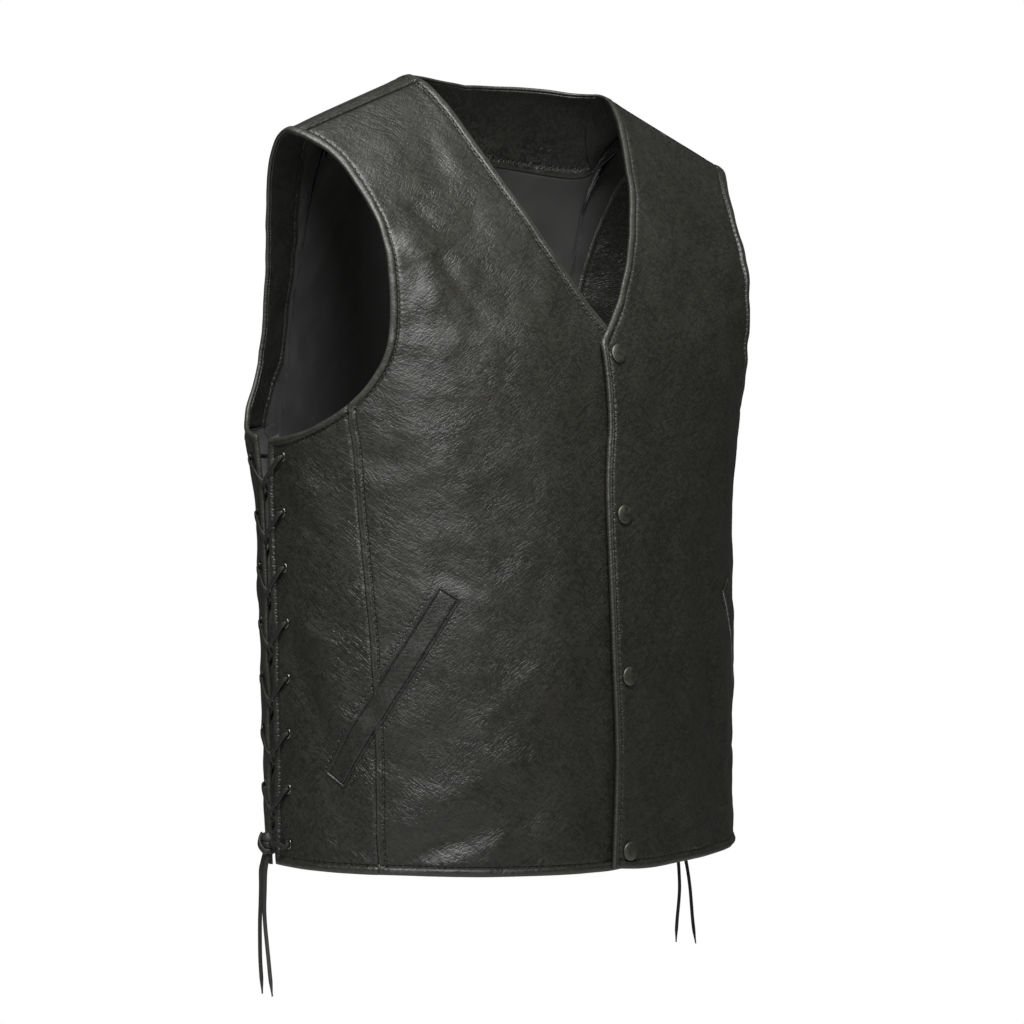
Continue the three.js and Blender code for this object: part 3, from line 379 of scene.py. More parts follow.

# %% [markdown]
# ## Small creases
# Worn cowhide is never smooth between its large folds. Shallow dents of every length from 14 to
# 60 mm lie over each other. A sum of waves that run in random directions gives that, and a seeded
# generator gives the same dents each time. Pulled places get creases of their own, listed one by one.

# %% Small creases
CREASES = [
    (-1, (286, -56), (250, -84), 4.5, -1.1), (-1, (284, -100), (246, -122), 4.5, -0.9),
    (-1, (288, -144), (254, -160), 4, 0.9), (-1, (286, -190), (250, -232), 6, -1.2),
    (-1, (290, -232), (262, -276), 6, 1.1), (-1, (284, -284), (236, -322), 8, -1.6),
    (-1, (262, -306), (222, -330), 6, 1.3), (-1, (206, -250), (150, -276), 9, -1.0),
    (-1, (196, -268), (120, -284), 8, 0.8), (-1, (150, -262), (80, -236), 10, -1.0),
    (-1, (132, -226), (84, -180), 7, 1.1), (-1, (236, 10), (214, 26), 6, 1.6),
    (-1, (226, -12), (196, -16), 7, -1.3), (-1, (214, -36), (160, -26), 8, 1.2),
    (-1, (150, 160), (120, 96), 7, -1.3), (-1, (166, 140), (142, 84), 6, 1.0),
    (-1, (110, 236), (60, 170), 9, 1.0), (-1, (190, 190), (166, 140), 7, -1.2),
    (-1, (176, 232), (146, 190), 8, -1.0), (-1, (160, -106), (130, -118), 6, -1.6),
    (1, (22, 60), (58, 38), 6, -1.2), (1, (22, -60), (64, -84), 6, -1.3),
    (1, (24, -189), (70, -214), 6, -1.4), (1, (24, -326), (66, -300), 6, -1.2),
    (1, (60, 10), (110, -70), 9, 1.3), (1, (120, 150), (140, 70), 9, -1.4),
    (1, (150, 60), (160, -60), 11, 1.5), (1, (60, -250), (86, -330), 8, 1.4),
    (1, (118, -180), (132, -320), 8, -1.5), (1, (286, -56), (250, -84), 4.5, -1.1),
    (1, (286, -190), (250, -232), 6, -1.2), (1, (284, -284), (236, -322), 8, -1.6),
    (1, (206, -250), (150, -276), 7, -1.6), (1, (190, 190), (166, 140), 7, -1.2),
    (0, (-214, 640), (-170, 672), 6, -1.2), (0, (214, 640), (168, 676), 6, -1.2),
    (0, (-220, 742), (-176, 764), 6, 1.1), (0, (222, 790), (180, 812), 6, 1.1),
    (0, (-216, 866), (-160, 902), 8, -1.6), (0, (214, 880), (150, 918), 8, -1.6),
    (0, (-90, 420), (-20, 440), 12, -1.0), (0, (96, 416), (30, 446), 12, -1.0),
]
WAVES = 42
waves = np.random.default_rng(7)
WAVE_LENGTH = waves.uniform(14, 60, WAVES)
WAVE_TURN = waves.uniform(0, np.pi, WAVES)
WAVE_START = waves.uniform(0, 2 * np.pi, WAVES)


def creases(side, across, up):
    """Waves as high as 0.2% of their length, and the listed creases. They fade where the
    fronts lap and at the shoulder, where two pieces have to lie on each other."""
    height = fold_height(side, across, up, CREASES)
    place = across + 700 * side
    for length, turn, start in zip(WAVE_LENGTH, WAVE_TURN, WAVE_START):
        run = place * math.cos(turn) + up * math.sin(turn)
        height = height + 0.0021 * length * np.sin(2 * np.pi * run / length + start)
    at_lap = np.where(side == 0, 1, smooth(6, 26, across))
    return height * at_lap * smooth(18, 60, np.abs(up - RIDGE))


# %% [markdown]
# ## The free ends of the laces
# Each lace ends in a knot with two tails that hang by their own weight. They are the only free
# cords, so they are settled first, together with the camera. Their steps from the knot are the
# model's own, but the knots sit 2.8 mm nearer to the body, as in the photograph. Each tail is a flat
# thong, a rounded strip swept along a smooth curve.

# %% Sweep a profile along a path
def smooth_path(points, step):
    """A curve through points in space, read off a step apart. Columns after the third, such as a
    width, are carried along."""
    line = rounded(points, 60 * len(points))
    run = tape_along(line[:, :3])
    return evenly(line, run, int(run[-1] / step) + 2)


def strip_profile(width, thick, sides=12):
    """The outline of a flat thong: a squarish oval, |x/a|^3 + |y/b|^3 = 1."""
    a = np.linspace(0, 2 * np.pi, sides, endpoint=False) + np.pi / sides
    x = np.sign(np.cos(a)) * np.abs(np.cos(a)) ** (2 / 3) * width / 2
    y = np.sign(np.sin(a)) * np.abs(np.sin(a)) ** (2 / 3) * thick / 2
    return np.stack([x, y], -1)


def swept(path, aside, profile, scale):
    """Carries a profile along a path: its x lies along aside, made square to the path, and its y
    square to both. scale gives its width and thickness factors. Both ends are closed."""
    ahead = unit(np.gradient(path, axis=0))
    aside = unit(aside - ahead * (aside * ahead).sum(-1, keepdims=True))
    out = np.cross(aside, ahead)
    section = profile[None] * scale[:, None]
    rings = path[:, None] + aside[:, None] * section[..., :1] + out[:, None] * section[..., 1:]
    count, sides = rings.shape[:2]
    index = np.arange(count * sides).reshape(count, sides)
    turn = np.roll(index, -1, axis=1)
    quads = np.stack([index[:-1], turn[:-1], turn[1:], index[1:]], -1).reshape(-1, 4)
    first, last = count * sides, count * sides + 1
    fans = [(first, b, a) for a, b in zip(index[0], turn[0])]
    fans += [(last, a, b) for a, b in zip(index[-1], turn[-1])]
    points = np.vstack([rings.reshape(-1, 3), path[:1], path[-1:]])
    run = tape_along(path)
    around = np.tile(np.arange(sides) / sides * 8, count)
    uv = np.stack([np.append(around, [4, 4]), np.append(np.repeat(run, sides), [0, run[-1]])], -1)
    return points, quads, np.array(fans), uv


# %% Mesh maker
def make_piece(name, points, quads, triangles=None, uv=None, marks=None, finish=None):
    """Makes a mesh object from arrays in millimetres. Faces are turned outward by the sign of the
    closed mesh's volume. uv and marks hold one value for each point."""
    triangles = np.zeros((0, 3), int) if triangles is None or not len(triangles) else triangles
    split = np.vstack([quads[:, [0, 1, 2]], quads[:, [0, 2, 3]], triangles])
    a, b, c = (points[split[:, k]] for k in range(3))
    if (a * np.cross(b, c)).sum() < 0:
        quads, triangles = quads[:, ::-1], triangles[:, ::-1]
    mesh = bpy.data.meshes.new(name)
    mesh.from_pydata((points * MM).tolist(), [], quads.tolist() + triangles.tolist())
    mesh.polygons.foreach_set("use_smooth", np.ones(len(mesh.polygons), bool))
    corners = np.zeros(len(mesh.loops), np.int32)
    mesh.loops.foreach_get("vertex_index", corners)
    if uv is not None:
        layer = mesh.uv_layers.new(name="pattern")
        layer.data.foreach_set("uv", (uv[corners] * MM).astype(np.float32).ravel())
    for mark, values in (marks or {}).items():
        data = mesh.attributes.new(mark, "FLOAT", "POINT").data
        data.foreach_set("value", np.asarray(values, np.float32).ravel())
    mesh.update()
    piece = bpy.data.objects.new(name, mesh)
    bpy.context.scene.collection.objects.link(piece)
    if finish is not None:
        mesh.materials.append(finish)
    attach(piece, "root")
    return piece


# %% Tails
GAP_MIDDLE = LACING_EDGE + LACING_GAP / 2
EYELET_REACH = EYELET_INSET + LACING_GAP / 2
KNOT_UP, KNOT_OUT = -322, 6.8
THONG_WIDTH, THONG_THICK = 4.0, 1.8
# Millimetres out from the body, toward the front, and down from the knot's middle
TAILS = {
    "right": [
        [(0.5, -2.6, 8.3), (1.4, -4.2, 15), (1.8, -6, 22), (1.4, -6.6, 34), (0.8, -8.2, 48),
         (0.2, -10, 62), (-0.6, -11.2, 78), (-0.8, -11, 94), (-0.4, -9, 108), (0.6, -6.2, 121)],
        [(1.5, 2.2, 8.4), (2.4, 1.6, 15), (2.2, -0.6, 24), (1.8, -1.6, 38), (1.6, -2.2, 52),
         (1.6, -1.2, 64), (2.4, 2.2, 78), (3.6, 6.4, 92), (4.6, 10.2, 106), (5.6, 14.4, 120)],
    ],
    "left": [
        [(0.5, -1.8, 8.8), (2, 2.4, 15), (3.6, 9, 24), (4.8, 12.5, 36), (5.4, 15, 48), (5.2, 16.5, 60),
         (4.6, 17.6, 72), (3.4, 17.8, 84), (2.2, 17.4, 96), (1.4, 17, 108), (1, 17, 119)],
        [(1.5, 2.6, 8.3), (3.4, 7.2, 15), (5.6, 14.6, 24), (7.2, 19, 36), (8, 22.4, 48), (8.4, 25, 60),
         (8.6, 27, 72), (8.4, 28.8, 85), (8.2, 30.4, 97), (8.2, 32.2, 108), (8.4, 34.4, 119)],
    ],
}


def knot_middle(side):
    return cloth(side, GAP_MIDDLE, KNOT_UP, KNOT_OUT)


def tail(node, side, steps):
    """One free end: it narrows to its tip, which is cut to a point for threading."""
    name = node.replace("lace_tail", "free_end")
    steps = np.array(steps) * (side, -1, -1)
    path = smooth_path(knot_middle(side) + steps, 1.6)
    share = np.linspace(0, 1, len(path))
    twist = (2.0 + 0.7 * np.sin(2.2 * share + side))[:, None]
    out = normal_at(side * GAP_MIDDLE, np.float64(KNOT_UP))
    ahead = unit(np.gradient(path, axis=0))
    aside = np.cross(ahead, out) + out * twist
    width = 1 - 0.18 * smooth(0.1, 0.5, share) - 0.5 * smooth(0.88, 1, share)
    points, quads, fans, uv = swept(
        path, aside, strip_profile(THONG_WIDTH, THONG_THICK), np.stack([width, width], -1)
    )
    piece = make_piece(name, points, quads, fans, uv)
    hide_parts(node)
    return piece


SIDES = {"right": -1, "left": 1}
thong_pieces = [
    tail(f"lace_tail_{name}_{number}", side, steps)
    for name, side in SIDES.items()
    for number, steps in enumerate(TAILS[name], 1)
]

# %% [markdown]
# ## Finishes
# Every finish is worked out in nodes. Leather here is full-grain cowhide with a thin black finish:
# its colour is nearly flat, and what the eye reads is the relief. Fine creases run across each
# other at an angle, like the lines of a palm, with pebbles of about a millimetre between them, and
# the creases carry painted shade. The pattern follows the hide, so it reads the piece's own map,
# which is the paper pattern.

# %% One function that adds a node
def linear(code):
    """An sRGB hex value as linear light: ((c + 0.055) / 1.055)^2.4 above 0.04045."""
    parts = [int(code[i:i + 2], 16) / 255 for i in (1, 3, 5)]
    return tuple([c / 12.92 if c <= 0.04045 else ((c + 0.055) / 1.055) ** 2.4 for c in parts] + [1.0])


def add(tree, kind, inputs=None, out=0, **settings):
    """Adds a node with its settings. inputs gives each socket a value or another node's output."""
    made = tree.nodes.new(kind)
    for key, value in settings.items():
        setattr(made, key, value)
    for socket, value in (inputs or {}).items():
        if isinstance(value, bpy.types.NodeSocket):
            tree.links.new(value, made.inputs[socket])
        else:
            made.inputs[socket].default_value = value
    return made.outputs[out] if made.outputs else made


def new_finish(name, **shader_values):
    """A material with one Principled shader, and the shader's own sockets set."""
    finish = bpy.data.materials.new(name)
    finish.use_nodes = True
    tree = finish.node_tree
    shader = tree.nodes["Principled BSDF"]
    for socket, value in shader_values.items():
        shader.inputs[socket.replace("_", " ")].default_value = value
    return finish, tree, shader


def plug(tree, shader, **found):
    """Links each output to the shader's socket of that name."""
    for socket, output in found.items():
        tree.links.new(output, shader.inputs[socket.replace("_", " ")])


COLOUR_MIX = {"out": 2, "data_type": "RGBA"}
SOFT_STEP = {"interpolation_type": "SMOOTHSTEP"}


# %% Cowhide
STITCH_PITCH = 5.0
STITCH_LINE = 6.9


def cowhide(name, dark, between_creases, relief, rough):
    """Cowhide. relief scales the creases, and rough is the roughness of the flat finish. The darker colour
    is painted shade in the creases, and the lighter one is the hide's own colour.
    """
    finish, tree, shader = new_finish(name, IOR=1.5, Specular_IOR_Level=0.5)
    pattern = add(tree, "ShaderNodeTexCoord", out="UV")
    in_mm = add(tree, "ShaderNodeMapping", {"Vector": pattern, "Scale": (1000, 1000, 1000)})
    drift = add(tree, "ShaderNodeTexNoise", {"Vector": in_mm, "Scale": 0.03, "Detail": 2.0}, out="Color")
    drift = add(tree, "ShaderNodeVectorMath", {0: drift, 1: (0.5, 0.5, 0.5)}, operation="SUBTRACT")
    drift = add(tree, "ShaderNodeVectorMath", {0: drift, "Scale": 9.0}, operation="SCALE")
    warped = add(tree, "ShaderNodeVectorMath", {0: in_mm, 1: drift}, operation="ADD")
    # Creases are the thin lines along which a stretched noise passes its middle value: 3 mm
    # apart and 8 mm long. Two sets cross at about 70 degrees, and each set comes and goes.
    sets = []
    for turn, size, shift in ((34, (0.11, 0.38, 1), 0.0), (-36, (0.105, 0.36, 1), 37.0)):
        turned = add(tree, "ShaderNodeMapping", {"Vector": warped, "Rotation": (0, 0, math.radians(turn))})
        moves = {"Vector": turned, "Scale": size, "Location": (shift, shift, 0)}
        scaled = add(tree, "ShaderNodeMapping", moves)
        grain = add(
            tree, "ShaderNodeTexNoise", {"Vector": scaled, "Scale": 1.0, "Detail": 1.0, "Roughness": 0.45},
            noise_dimensions="2D",
        )
        off_middle = add(tree, "ShaderNodeMath", {0: grain, 1: 0.5}, operation="SUBTRACT")
        off_middle = add(tree, "ShaderNodeMath", {0: off_middle}, operation="ABSOLUTE")
        bounds = {0: off_middle, 1: 0.0, 2: 0.13, 3: 1.0, 4: 0.0}
        valley = add(tree, "ShaderNodeMapRange", bounds, **SOFT_STEP)
        moved = add(tree, "ShaderNodeMapping", {"Vector": in_mm, "Location": (shift, 2 * shift, 0)})
        patches = {"Vector": moved, "Scale": 0.035, "Detail": 3.0, "Roughness": 0.6}
        where = add(tree, "ShaderNodeTexNoise", patches)
        where = add(tree, "ShaderNodeMapRange", {0: where, 1: 0.4, 2: 0.62, 3: 0.45, 4: 1.0}, **SOFT_STEP)
        sets.append(add(tree, "ShaderNodeMath", {0: valley, 1: where}, operation="MULTIPLY"))
    creased = add(tree, "ShaderNodeMath", {0: sets[0], 1: sets[1]}, operation="ADD")
    calm = add(tree, "ShaderNodeTexNoise", {"Vector": in_mm, "Scale": 0.017, "Detail": 2.0})
    pebbles = add(
        tree, "ShaderNodeTexVoronoi", {"Vector": in_mm, "Scale": 0.62, "Randomness": 1.0},
        feature="SMOOTH_F1", voronoi_dimensions="2D",
    )
    pitted = add(tree, "ShaderNodeMath", {0: pebbles, 1: 0.15, 2: creased}, operation="MULTIPLY_ADD")
    height = add(tree, "ShaderNodeMath", {0: pitted, 1: -0.42}, operation="MULTIPLY")
    # Longer soft folds, 6 by 20 mm, lie under the creases.
    turned = add(tree, "ShaderNodeMapping", {"Vector": warped, "Rotation": (0, 0, math.radians(-28))})
    scaled = add(tree, "ShaderNodeMapping", {"Vector": turned, "Scale": (0.04, 0.12, 1)})
    pulls = add(
        tree, "ShaderNodeTexNoise", {"Vector": scaled, "Scale": 1.0, "Detail": 2.0}, noise_dimensions="2D",
    )
    height = add(tree, "ShaderNodeMath", {0: pulls, 1: 1.9, 2: height}, operation="MULTIPLY_ADD")
    # The thread draws the hide into small puckers that stand square to the seam, one to a stitch,
    # and the needle leaves a hole between two stitches, sunk in the relief and coloured near black as
    # painted shade.
    seam_off = add(tree, "ShaderNodeAttribute", out="Fac", attribute_name="seam_off")
    seam_run = add(tree, "ShaderNodeAttribute", out="Fac", attribute_name="seam_run")
    rise = add(tree, "ShaderNodeMapRange", {0: seam_off, 1: 4.8, 2: 6.6}, **SOFT_STEP)
    fall = add(tree, "ShaderNodeMapRange", {0: seam_off, 1: 7.8, 2: 14.0, 3: 1.0, 4: 0.0}, **SOFT_STEP)
    near = add(tree, "ShaderNodeMath", {0: rise, 1: fall}, operation="MULTIPLY")
    wander = add(tree, "ShaderNodeTexNoise", {"Vector": in_mm, "Scale": 0.09, "Detail": 1.0})
    slant = add(tree, "ShaderNodeMath", {0: seam_off, 1: wander}, operation="MULTIPLY")
    waves_along = {0: seam_run, 1: 2 * math.pi / STITCH_PITCH, 2: slant}
    angle = add(tree, "ShaderNodeMath", waves_along, operation="MULTIPLY_ADD")
    pucker = add(tree, "ShaderNodeMath", {0: angle}, operation="COSINE")
    pucker = add(tree, "ShaderNodeMath", {0: pucker, 1: near}, operation="MULTIPLY")
    height = add(tree, "ShaderNodeMath", {0: pucker, 1: -0.24, 2: height}, operation="MULTIPLY_ADD")
    beside = add(tree, "ShaderNodeMath", {0: seam_run, 1: STITCH_PITCH / 2}, operation="PINGPONG")
    off_line = add(tree, "ShaderNodeMath", {0: seam_off, 1: STITCH_LINE}, operation="SUBTRACT")
    place = add(tree, "ShaderNodeCombineXYZ", {"X": beside, "Y": off_line})
    away = add(tree, "ShaderNodeVectorMath", {0: place}, operation="LENGTH", out="Value")
    hole = add(tree, "ShaderNodeMapRange", {0: away, 1: 0.5, 2: 1.25, 3: 1.0, 4: 0.0}, **SOFT_STEP)
    height = add(tree, "ShaderNodeMath", {0: hole, 1: -1.6, 2: height}, operation="MULTIPLY_ADD")
    bump = add(tree, "ShaderNodeBump", {"Height": height, "Strength": relief, "Distance": 0.0005})
    # Painted shade and highlight: the grain's creases are coloured darker than the hide between them, and
    # the turned edges' crests lighter, partly rubbed wear and partly a painted highlight.
    crest_wear_and_highlight = add(tree, "ShaderNodeMapRange", {0: seam_off, 1: 4.4, 2: 2.0, 3: 0.0, 4: 0.35}, **SOFT_STEP)
    # Painted shade: the more creased the grain, the more of the darker colour it takes.
    crease_shade_mix = add(tree, "ShaderNodeMapRange", {0: pitted, 1: 0.1, 2: 0.9, 3: 0.8, 4: 0.0})
    colour = add(tree, "ShaderNodeMix", {0: crease_shade_mix, 6: linear(dark), 7: linear(between_creases)}, **COLOUR_MIX)
    # Painted highlight, partly rubbed wear: the crests of the turned edges are mixed toward a light grey.
    colour = add(tree, "ShaderNodeMix", {0: crest_wear_and_highlight, 6: colour, 7: linear("#403f39")}, **COLOUR_MIX)
    # Painted shade: the needle holes are coloured near black.
    colour = add(tree, "ShaderNodeMix", {0: hole, 6: colour, 7: linear("#040404")}, **COLOUR_MIX)
    gloss = add(tree, "ShaderNodeMapRange", {0: calm, 1: 0.3, 2: 0.7, 3: rough - 0.05, 4: rough + 0.07})
    plug(tree, shader, Base_Color=colour, Roughness=gloss, Normal=bump)
    return finish


hide = cowhide("black_cowhide", "#161613", "#272621", relief=0.72, rough=0.45)
side_hide = cowhide("black_cowhide_side", "#161613", "#2a2924", relief=1.0, rough=0.42)
facing_hide = cowhide("black_cowhide_facing", "#11110f", "#272622", relief=0.85, rough=0.45)
print("finishes", [m.name for m in (hide, side_hide, facing_hide)])

# %% [markdown]
# ## Panels of hide
# Each panel is a wall between two faces worked out on one grid of pattern places. The grid is fine
# near the edges, where the hide is turned under, rolled and stitched, and coarser in the middle.
# Every place knows its distance to the nearest edge, and the rolled edge is a half-round function
# of that distance. A panel's holes and ends are cells left out, and each open side gets a rim.

# %% Grids and walls
EDGE_STOPS = np.array([
    0, 0.5, 1.1, 1.8, 2.4, 2.9, 3.5, 4.2, 5.0, 5.7, 6.3, STITCH_LINE, 7.5, 8.2, 9.2, 10.5, 12.2,
])


def stops(inner, near=EDGE_STOPS, far=EDGE_STOPS):
    """Stops of a run as (share of the way, offset): fixed distances from both ends, even between."""
    t = np.linspace(0, 1, inner + 1)[1:-1]
    share = np.concatenate([np.zeros(len(near)), t, np.ones(len(far))])
    offset = np.concatenate([near, near[-1] * (1 - t) - far[-1] * t, -far[::-1]])
    return share, offset


def between(low, high, run):
    share, offset = run
    return low + (high - low) * share + np.sign(high - low) * offset


def down(run):
    """The same stops as a column, for rows of a grid."""
    return run[0][:, None], run[1][:, None]


def nearest(line, across, up):
    """Distance to a drawn line, and the tape along it to its nearest place, both evened."""
    line, up = line_of(line[:, 0], evened(line[:, 1])), evened(up)
    start, run = line[:-1], np.diff(line, axis=0)
    length = np.hypot(*run.T)
    so_far = tape_along(line)
    at = np.stack([across.ravel(), up.ravel()], -1)[:, None] - start
    t = np.clip((at * run).sum(-1) / length**2, 0, 1)
    off = np.linalg.norm(at - run * t[..., None], axis=-1)
    k = off.argmin(1)
    i = np.arange(len(k))
    return off[i, k].reshape(across.shape), (so_far[k] + t[i, k] * length[k]).reshape(across.shape)


def nearest_of(lines, across, up):
    """The same for the nearest of several lines, each thinned to every second point."""
    found = [nearest(np.vstack([line[:-1:2], line[-1:]]), across, up) for line in lines]
    off = np.array([d for d, _ in found])
    run = np.array([s for _, s in found])
    k = off.argmin(0)[None]
    return np.take_along_axis(off, k, 0)[0], np.take_along_axis(run, k, 0)[0]


def rolled(off, full=1.0):
    """Height of a turned and stitched edge: a half-round roll 6.5 wide, the stitches' groove, and
    the hide's soft swelling beyond it. full scales the roll."""
    groove, swelling = 0.8 * bell(off - STITCH_LINE, 0.9), 0.3 * bell(off - 10.5, 3)
    return 2.0 * full * half_round(off - 3.1, 3.35) - groove + swelling


def pressed_flat(across, up):
    """The roll is pressed nearly flat where it turns the corner at the neck's shoulder point."""
    return 1 - 0.75 * bell(np.hypot(across - 100, up - RIDGE), 16)


def all_cells(across):
    return np.ones((across.shape[0] - 1, across.shape[1] - 1), bool)


def wall(top, bottom, keep):
    """Quads of a wall between two faces on one grid, with a rim round every kept stretch."""
    rows, columns = top.shape[:2]
    index = np.arange(rows * columns).reshape(rows, columns)
    corner = [index[:-1, :-1], index[:-1, 1:], index[1:, 1:], index[1:, :-1]]
    face = np.stack(corner, -1)[keep]
    quads = [face, face[:, ::-1] + rows * columns]
    room = np.pad(keep, 1)
    sides = [room[:-2, 1:-1], room[1:-1, 2:], room[2:, 1:-1], room[1:-1, :-2]]
    for k, beside in enumerate(sides):
        open_side = keep & ~beside
        a, b = corner[k][open_side], corner[(k + 1) % 4][open_side]
        quads.append(np.stack([b, a, a + rows * columns, b + rows * columns], -1))
    quads = np.vstack(quads)
    used, quads = np.unique(quads, return_inverse=True)
    points = np.vstack([top.reshape(-1, 3), bottom.reshape(-1, 3)])[used]
    return points, quads.reshape(-1, 4), used % (rows * columns)


def cut_size(side, across, up, keep):
    """Longest row and column of the piece, and its area, in metres: the size of its flat cut.
    A cell's area is half the length of the cross product of its diagonals."""
    place = cloth(side, across, up, LEATHER / 2) * MM
    steps = [np.linalg.norm(np.diff(place, axis=k), axis=-1) for k in (0, 1)]
    wide = (steps[1][:-1] * keep).sum(1).max()
    long = (steps[0][:, :-1] * keep).sum(0).max()
    crossed = np.cross(place[1:, 1:] - place[:-1, :-1], place[1:, :-1] - place[:-1, 1:])
    area = (np.linalg.norm(crossed, axis=-1) / 2)[keep].sum()
    return float(wide), float(long), float(min(area, wide * long))


def cloth_piece(
    name, node, side, across, up, top, bottom, finish,
    keep=None, marks=None, own_map=None,
):
    """A piece of cloth from its grid of pattern places and its two faces' depths. The pattern is
    its map, unless it has a map of its own."""
    across, up = np.broadcast_arrays(across, up)
    keep = all_cells(across) if keep is None else keep
    faces = [cloth(side, across, up, depth, fine=1) for depth in (top, bottom)]
    points, quads, which = wall(*faces, keep)
    own_map = (across, evened(up)) if own_map is None else own_map
    uv = np.stack([values.ravel()[which] for values in own_map], -1)
    found = {
        key: np.broadcast_to(value, across.shape).ravel()[which] for key, value in (marks or {}).items()
    }
    piece = make_piece(name, points, quads, uv=uv, marks=found, finish=finish)
    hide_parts(node)
    wide, long, area = cut_size(side, across, up, keep)
    print(name, "cut", round(wide, 3), "x", round(long, 3), "m,", len(quads) * 2, "triangles")
    return piece


# %% Pattern lines that the panels share
SEAM_TOP = float(np.interp(seam_at(38), armhole_line[:60, 0][::-1], armhole_line[:60, 1][::-1]))
BACK_CORNER = ARMHOLE[-1][1]
BACK_HEM = 2 * RIDGE - HEM - 1


def across_of(line, up):
    return np.interp(up, line[:, 1], line[:, 0])


def back_edge(up):
    return half_girth(2 * RIDGE - up) - LACING_EDGE - LACING_GAP


def front_edge(up):
    return np.where(up < V_FOOT, placket_at(up), across_of(neck_line, up))


def front_side(up):
    return np.where(up < SEAM_TOP, seam_at(up), across_of(armhole_line, up))


def back_side(up):
    return np.where(up > BACK_CORNER, back_edge(up), across_of(armhole_line, up))


def armhole_up(across):
    front_part = armhole_line[:90]
    return np.interp(across, front_part[:, 0][::-1], front_part[:, 1][::-1])


hem_across = np.linspace(HEMLINE[0][0], LACING_EDGE, 90)
hem_line = line_of(hem_across, hem_at(hem_across))
lacing_line = line_of(LACING_EDGE, np.linspace(-340, 6, 60))
back_lacing_ups = np.linspace(BACK_CORNER, BACK_HEM, 80)
back_lacing_line = line_of(back_edge(back_lacing_ups), back_lacing_ups)
back_hem_line = line_of(np.linspace(0, float(back_edge(BACK_HEM)), 80), BACK_HEM)
seam_ups = np.linspace(LINES_FOOT, SEAM_TOP, 80)
seam_line = line_of(seam_at(seam_ups), seam_ups)
shoulder_line = line_of(np.linspace(95, 236, 40), SHOULDER_SEAM)
print("side seam meets the armhole", round(SEAM_TOP, 1), "mm above the underarm line")

# %% [markdown]
# ## Fronts, side panels and back
# A front runs from its turned centre edge to the armhole and the side seam. The front laps over the
# side panel: its edge is folded under and topstitched six millimetres in. The lacing margins are
# punched for the eyelets, so the rows are closest round them. The back is one piece from hem to
# neckline, and it comes over the shoulder to a seam just in front of the ridge.

# %% Front panels
def seam_lap(off):
    """The folded edge on top of a seam: a flat step 6 mm wide, and the groove its stitches draw."""
    step = smooth(-0.2, 1.2, off) * (1 - smooth(4.6, 6.4, off))
    return 0.75 * step - 0.45 * bell(off - 6, 0.8) - 0.5 * bell(off, 0.7)


def tucked(off):
    """A piece sinks where it runs in under the one on top of its seam."""
    return -0.9 * bell(off, 1.6)


def layered(off):
    """Thickness seen at the centre edge: two plies, with a fine groove between them."""
    return 0.35 * (1 - smooth(2.4, 3.5, off)) - 1.4 * bell(off - 2.9, 0.45)


WELT_TOP, WELT_FOOT, WELT_WIDE = np.array([153.0, -120]), np.array([248.0, -267]), 20
WELT_LONG = float(np.hypot(*(WELT_FOOT - WELT_TOP)))
WELT_WAY = (WELT_FOOT - WELT_TOP) / WELT_LONG
WELT_ASIDE = np.array([-WELT_WAY[1], WELT_WAY[0]])
WELT_STITCH = 3.2


def beside_welt(across, up):
    """Distance outside the welt's long edges, far off its ends, and the place along it."""
    along = (across - WELT_TOP[0]) * WELT_WAY[0] + (up - WELT_TOP[1]) * WELT_WAY[1]
    aside = (across - WELT_TOP[0]) * WELT_ASIDE[0] + (up - WELT_TOP[1]) * WELT_ASIDE[1]
    past = np.maximum(np.maximum(-along, along - WELT_LONG), 0)
    return np.abs(aside) - WELT_WIDE / 2 + 4 * past, along


TRIM = GAP / 2
HIDE_EDGES = [armhole_line, neck_line, placket_line, hem_line]


def hung(rows, across):
    """Rows follow the hem's own curve at the foot, and are level from 120 mm above it."""
    return rows + (hem_at(across) - HEM) * (1 - smooth(HEM, HEM + 120, rows))


def front_grid(rows, columns):
    h = between(HEM + TRIM, SHOULDER_SEAM - TRIM, down(rows))
    across = between(front_edge(h) + TRIM, front_side(h) - TRIM, columns)
    return across, hung(h, across)


for side_name, side in SIDES.items():
    across, up = front_grid(stops(150), stops(50))
    off, run = nearest_of(HIDE_EDGES, across, up)
    off_placket, _ = nearest(placket_line, across, up)
    off_seam, run_seam = nearest(seam_line, across, up)
    off_shoulder, _ = nearest(shoulder_line, across, up)
    shape = rolled(off, pressed_flat(across, up)) + layered(off_placket) * (off < off_seam)
    shape = shape + (seam_lap(off_seam) + tucked(off_shoulder)) * smooth(2, 8, off)
    off_welt, run_welt = beside_welt(across, up)
    off_welt = np.abs(off_welt) + STITCH_LINE - WELT_STITCH
    at_edge = np.minimum(off, np.minimum(off_seam + 0.8, off_shoulder + 8))
    marks = {
        "seam_off": np.minimum(at_edge, off_welt),
        "seam_run": np.where(off_welt < at_edge, run_welt, np.where(off < off_seam, run, run_seam)),
    }
    cloth_piece(
        f"front_hide_{side_name}", f"front_{side_name}", side, across, up, LEATHER + shape, 0.0,
        hide, marks=marks,
    )


# %% Side panels
EYELET_UPS = EYELET_TOP - EYELET_PITCH * np.arange(EYELET_COUNT)
EYELET_CLOSE = np.arange(-4, 4.1, 1)
HOLE_RADIUS = 2.9


def close_round(values, centres):
    """Adds stops a millimetre apart near each centre, and drops the others near it."""
    far = np.all(np.abs(values[:, None] - centres) > 4.6, axis=1)
    return np.unique(np.concatenate([values[far], (np.array(centres)[:, None] + EYELET_CLOSE).ravel()]))


